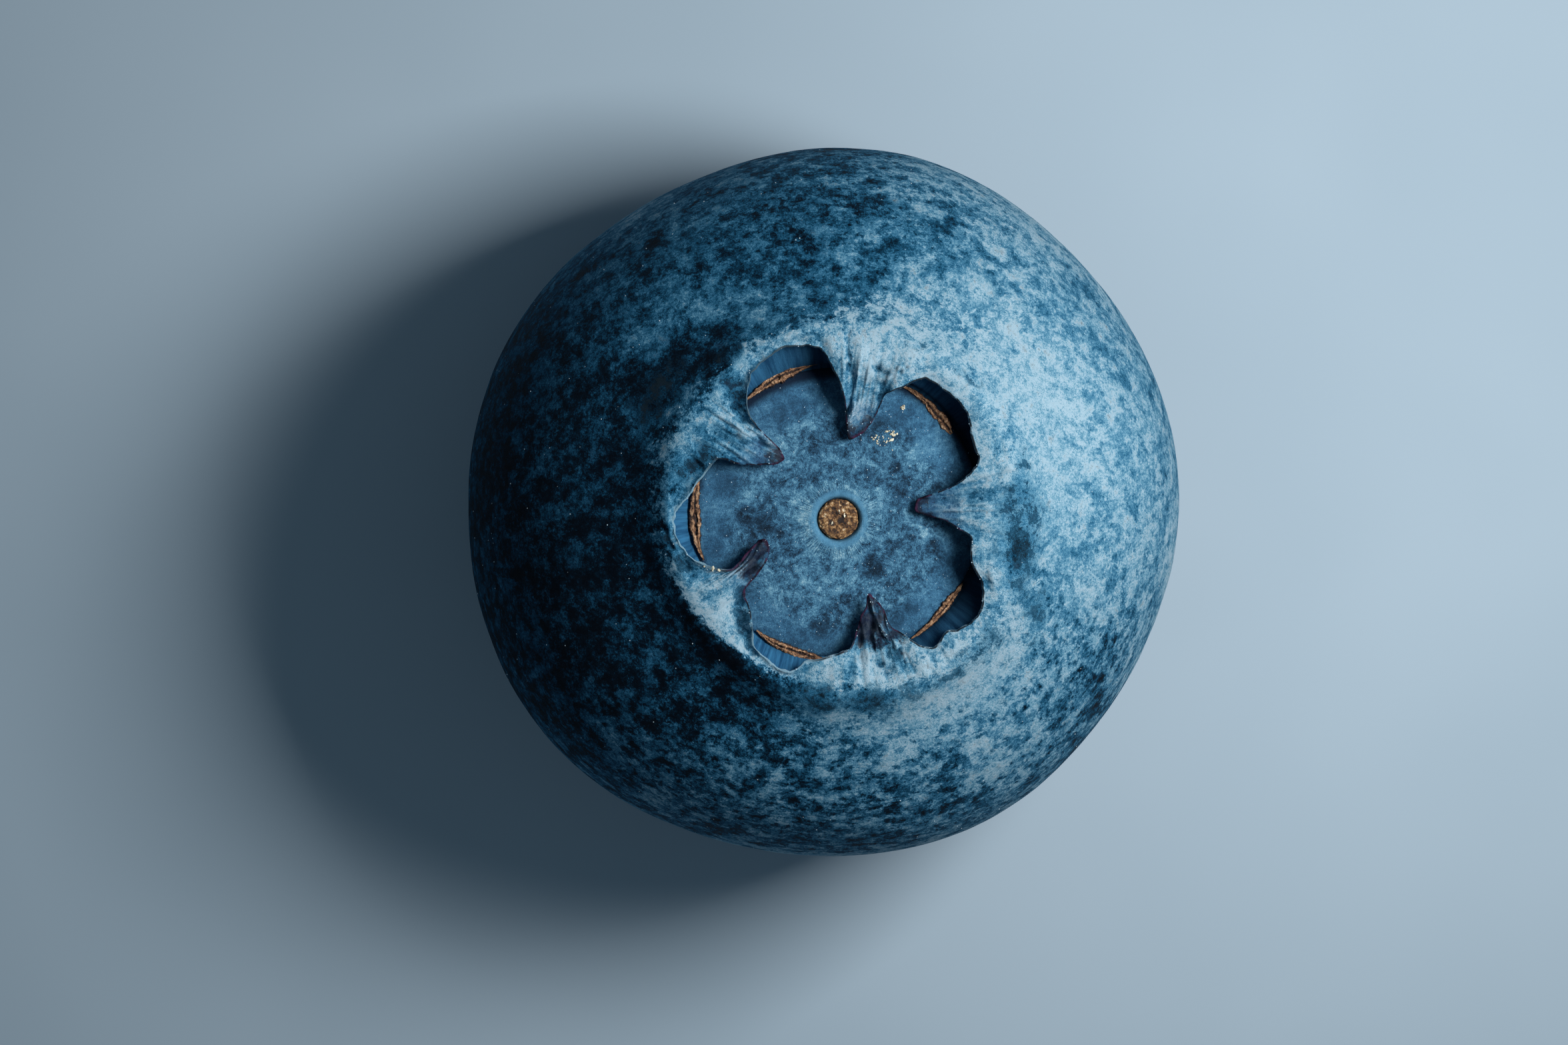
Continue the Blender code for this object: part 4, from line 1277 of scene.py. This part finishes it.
# Single flakes on the lip and on the style scar: x, y, height, half width.
FLAKE_PLACES = (
    (-2.82, -1.02, 11.99, 0.050), (-2.68, -1.05, 11.99, 0.042), (-3.00, -0.97, 11.99, 0.022),
    (0.14, 0.10, 11.16, 0.040), (0.02, 0.17, 11.16, 0.030), (-0.14, -0.08, 11.165, 0.026),
)
FIBRE_COUNT = 132


def make_crumbs(style):
    chance = np.random.default_rng(21)
    points, sizes = [], []
    for middle, spread, count, least, greatest in CRUMBS:
        spots = chance.normal(middle, spread, (count, 2))
        points += np.column_stack([spots, on_disc(spots)]).tolist()
        sizes += chance.uniform(least, greatest, count).tolist()
    for *spot, size in FLAKE_PLACES:
        points.append(spot)
        sizes.append(size)
    look = plain_look("cream_crumb", (0.40, 0.34, 0.22), (0.80, 0.74, 0.58), 16.0, 0.6)
    return grown(path("cream_crumbs", np.array(points) + style, sizes), STREWN, look)


def make_fibres(style):
    chance = np.random.default_rng(8)
    angles = np.linspace(0, 360, FIBRE_COUNT, endpoint=False) + chance.uniform(-1.2, 1.2, FIBRE_COUNT)
    points = ring(chance.uniform(0.70, 0.80, FIBRE_COUNT), 0.0, angles)
    points[:, 2] = on_disc(points) + 0.001
    fibres = path("style_fibres", points + style, np.ones(FIBRE_COUNT))
    outward = fibres.data.attributes.new("outward", "FLOAT_VECTOR", "POINT")
    outward.data.foreach_set("vector", (-ring(1.0, 0.0, angles)).astype(np.float32).ravel())
    look = plain_look("pale_fibre", (0.13, 0.32, 0.45), (0.26, 0.47, 0.60), 8.0, 0.7)
    return grown(fibres, FIBRES, look)


def make_dust(host, name, seed, **sizes):
    """Dust on a finished piece, as a piece of its own."""
    look = plain_look(f"{name}_grain", (0.24, 0.36, 0.44), (0.62, 0.74, 0.80), 20.0, 0.6)
    return grown(linked(name, host.data.copy()), SPECKS, look, Seed=seed, **sizes)


FLOOR_SIZE = 400 * MM


def make_floor():
    mesh = bpy.data.meshes.new("pale_floor")
    corners = [(x * FLOOR_SIZE, y * FLOOR_SIZE, 0) for x, y in ((-1, -1), (1, -1), (1, 1), (-1, 1))]
    mesh.from_pydata(corners, [], [(0, 1, 2, 3)])
    mesh.materials.append(plain_look("pale_paper", (0.40, 0.49, 0.56), (0.44, 0.53, 0.60), 0.05, 0.8))
    linked("pale_floor", mesh)


# The camera looks nearly straight down on the crown, leaning a little to its upper left.
CAMERA_LEAN = (-0.065, 0.065, 0.996)
CAMERA_DISTANCE = 196.9
CAMERA_SHIFT = (-0.889, -0.467)
LENS, SENSOR_WIDTH = 200, 36


def make_camera():
    back = Vector(CAMERA_LEAN).normalized()
    right = Vector((0, 1, 0)).cross(back).normalized()
    target = Vector((*CAMERA_SHIFT, WAIST_HEIGHT)) * MM
    data = bpy.data.cameras.new("camera")
    data.lens, data.sensor_width = LENS, SENSOR_WIDTH
    data.clip_start, data.clip_end = 0.01, 10
    camera = linked("camera", data)
    turn = Matrix((right, back.cross(right), back)).transposed().to_4x4()
    camera.matrix_world = Matrix.Translation(target + back * CAMERA_DISTANCE * MM) @ turn
    bpy.context.scene.camera = camera


# Soft square lights: where they shine from, distance and width in millimetres, power, colour.
LIGHTS = {
    "key_light": (towards(22, 57), 42, 16, 0.0205, (0.94, 0.98, 1.0)),
    "fill_light": ((-0.75, -0.6, 0.5), 160, 130, 0.0036, (0.66, 0.85, 1.0)),
}
AMBIENT_COLOUR, AMBIENT_STRENGTH = (0.48, 0.72, 0.92, 1), 0.145


def make_lights():
    for name, (direction, distance, size, power, colour) in LIGHTS.items():
        data = bpy.data.lights.new(name, "AREA")
        data.shape, data.size = "SQUARE", size * MM
        data.energy, data.color = power, colour
        light = linked(name, data)
        back = Vector(direction).normalized()
        light.location = back * distance * MM + Vector((0, 0, WAIST_HEIGHT * MM))
        light.rotation_euler = back.to_track_quat("Z", "Y").to_euler()
        light.visible_camera = False
    world = bpy.data.worlds.new("studio")
    world.use_nodes = True
    ambient = world.node_tree.nodes["Background"].inputs
    ambient["Color"].default_value = AMBIENT_COLOUR
    ambient["Strength"].default_value = AMBIENT_STRENGTH
    bpy.context.scene.world = world
    bpy.context.scene.view_settings.view_transform = "Standard"


RELIEF, HUSK, STREWN, FIBRES, SPECKS = relief_tree(), husk_tree(), strewn_tree(), fibre_tree(), dust_tree()
style, skin = make_skin(Crown())
disc = make_disc(style)
style_scar = make_scar(
    "style_scar", style, STYLE_SCAR, cork_look("golden_cork", style[:2], GOLDEN_CORK, 3.2, pit=(0.07, -0.02)),
    Lump_size=0.16, Lump_height=0.03, Grain_size=0.05, Grain_height=0.012, Pit_size=0.11, Pit_depth=0.03,
)
stem_scar = make_scar(
    "stem_scar", style, STEM_SCAR, cork_look("stem_cork", style[:2], GREYISH_CORK, 1.6),
    Lump_size=0.35, Lump_height=0.05, Grain_size=0.10, Grain_height=0.02, Pit_size=0.25, Pit_depth=0.04,
)
husks = make_husks(style)
crumbs = make_crumbs(style)
fibres = make_fibres(style)
disc_dust = make_dust(disc, "disc_dust", 5, Specks_per_square=9.0, Least_size=0.004, Greatest_size=0.014)
skin_dust = make_dust(skin, "skin_dust", 9, Specks_per_square=0.8, Least_size=0.006, Greatest_size=0.018)

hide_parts("berry")
for piece in (skin, disc, style_scar, stem_scar, *husks, crumbs, fibres, disc_dust, skin_dust):
    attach(piece, "root")

make_floor()
make_lights()
make_camera()
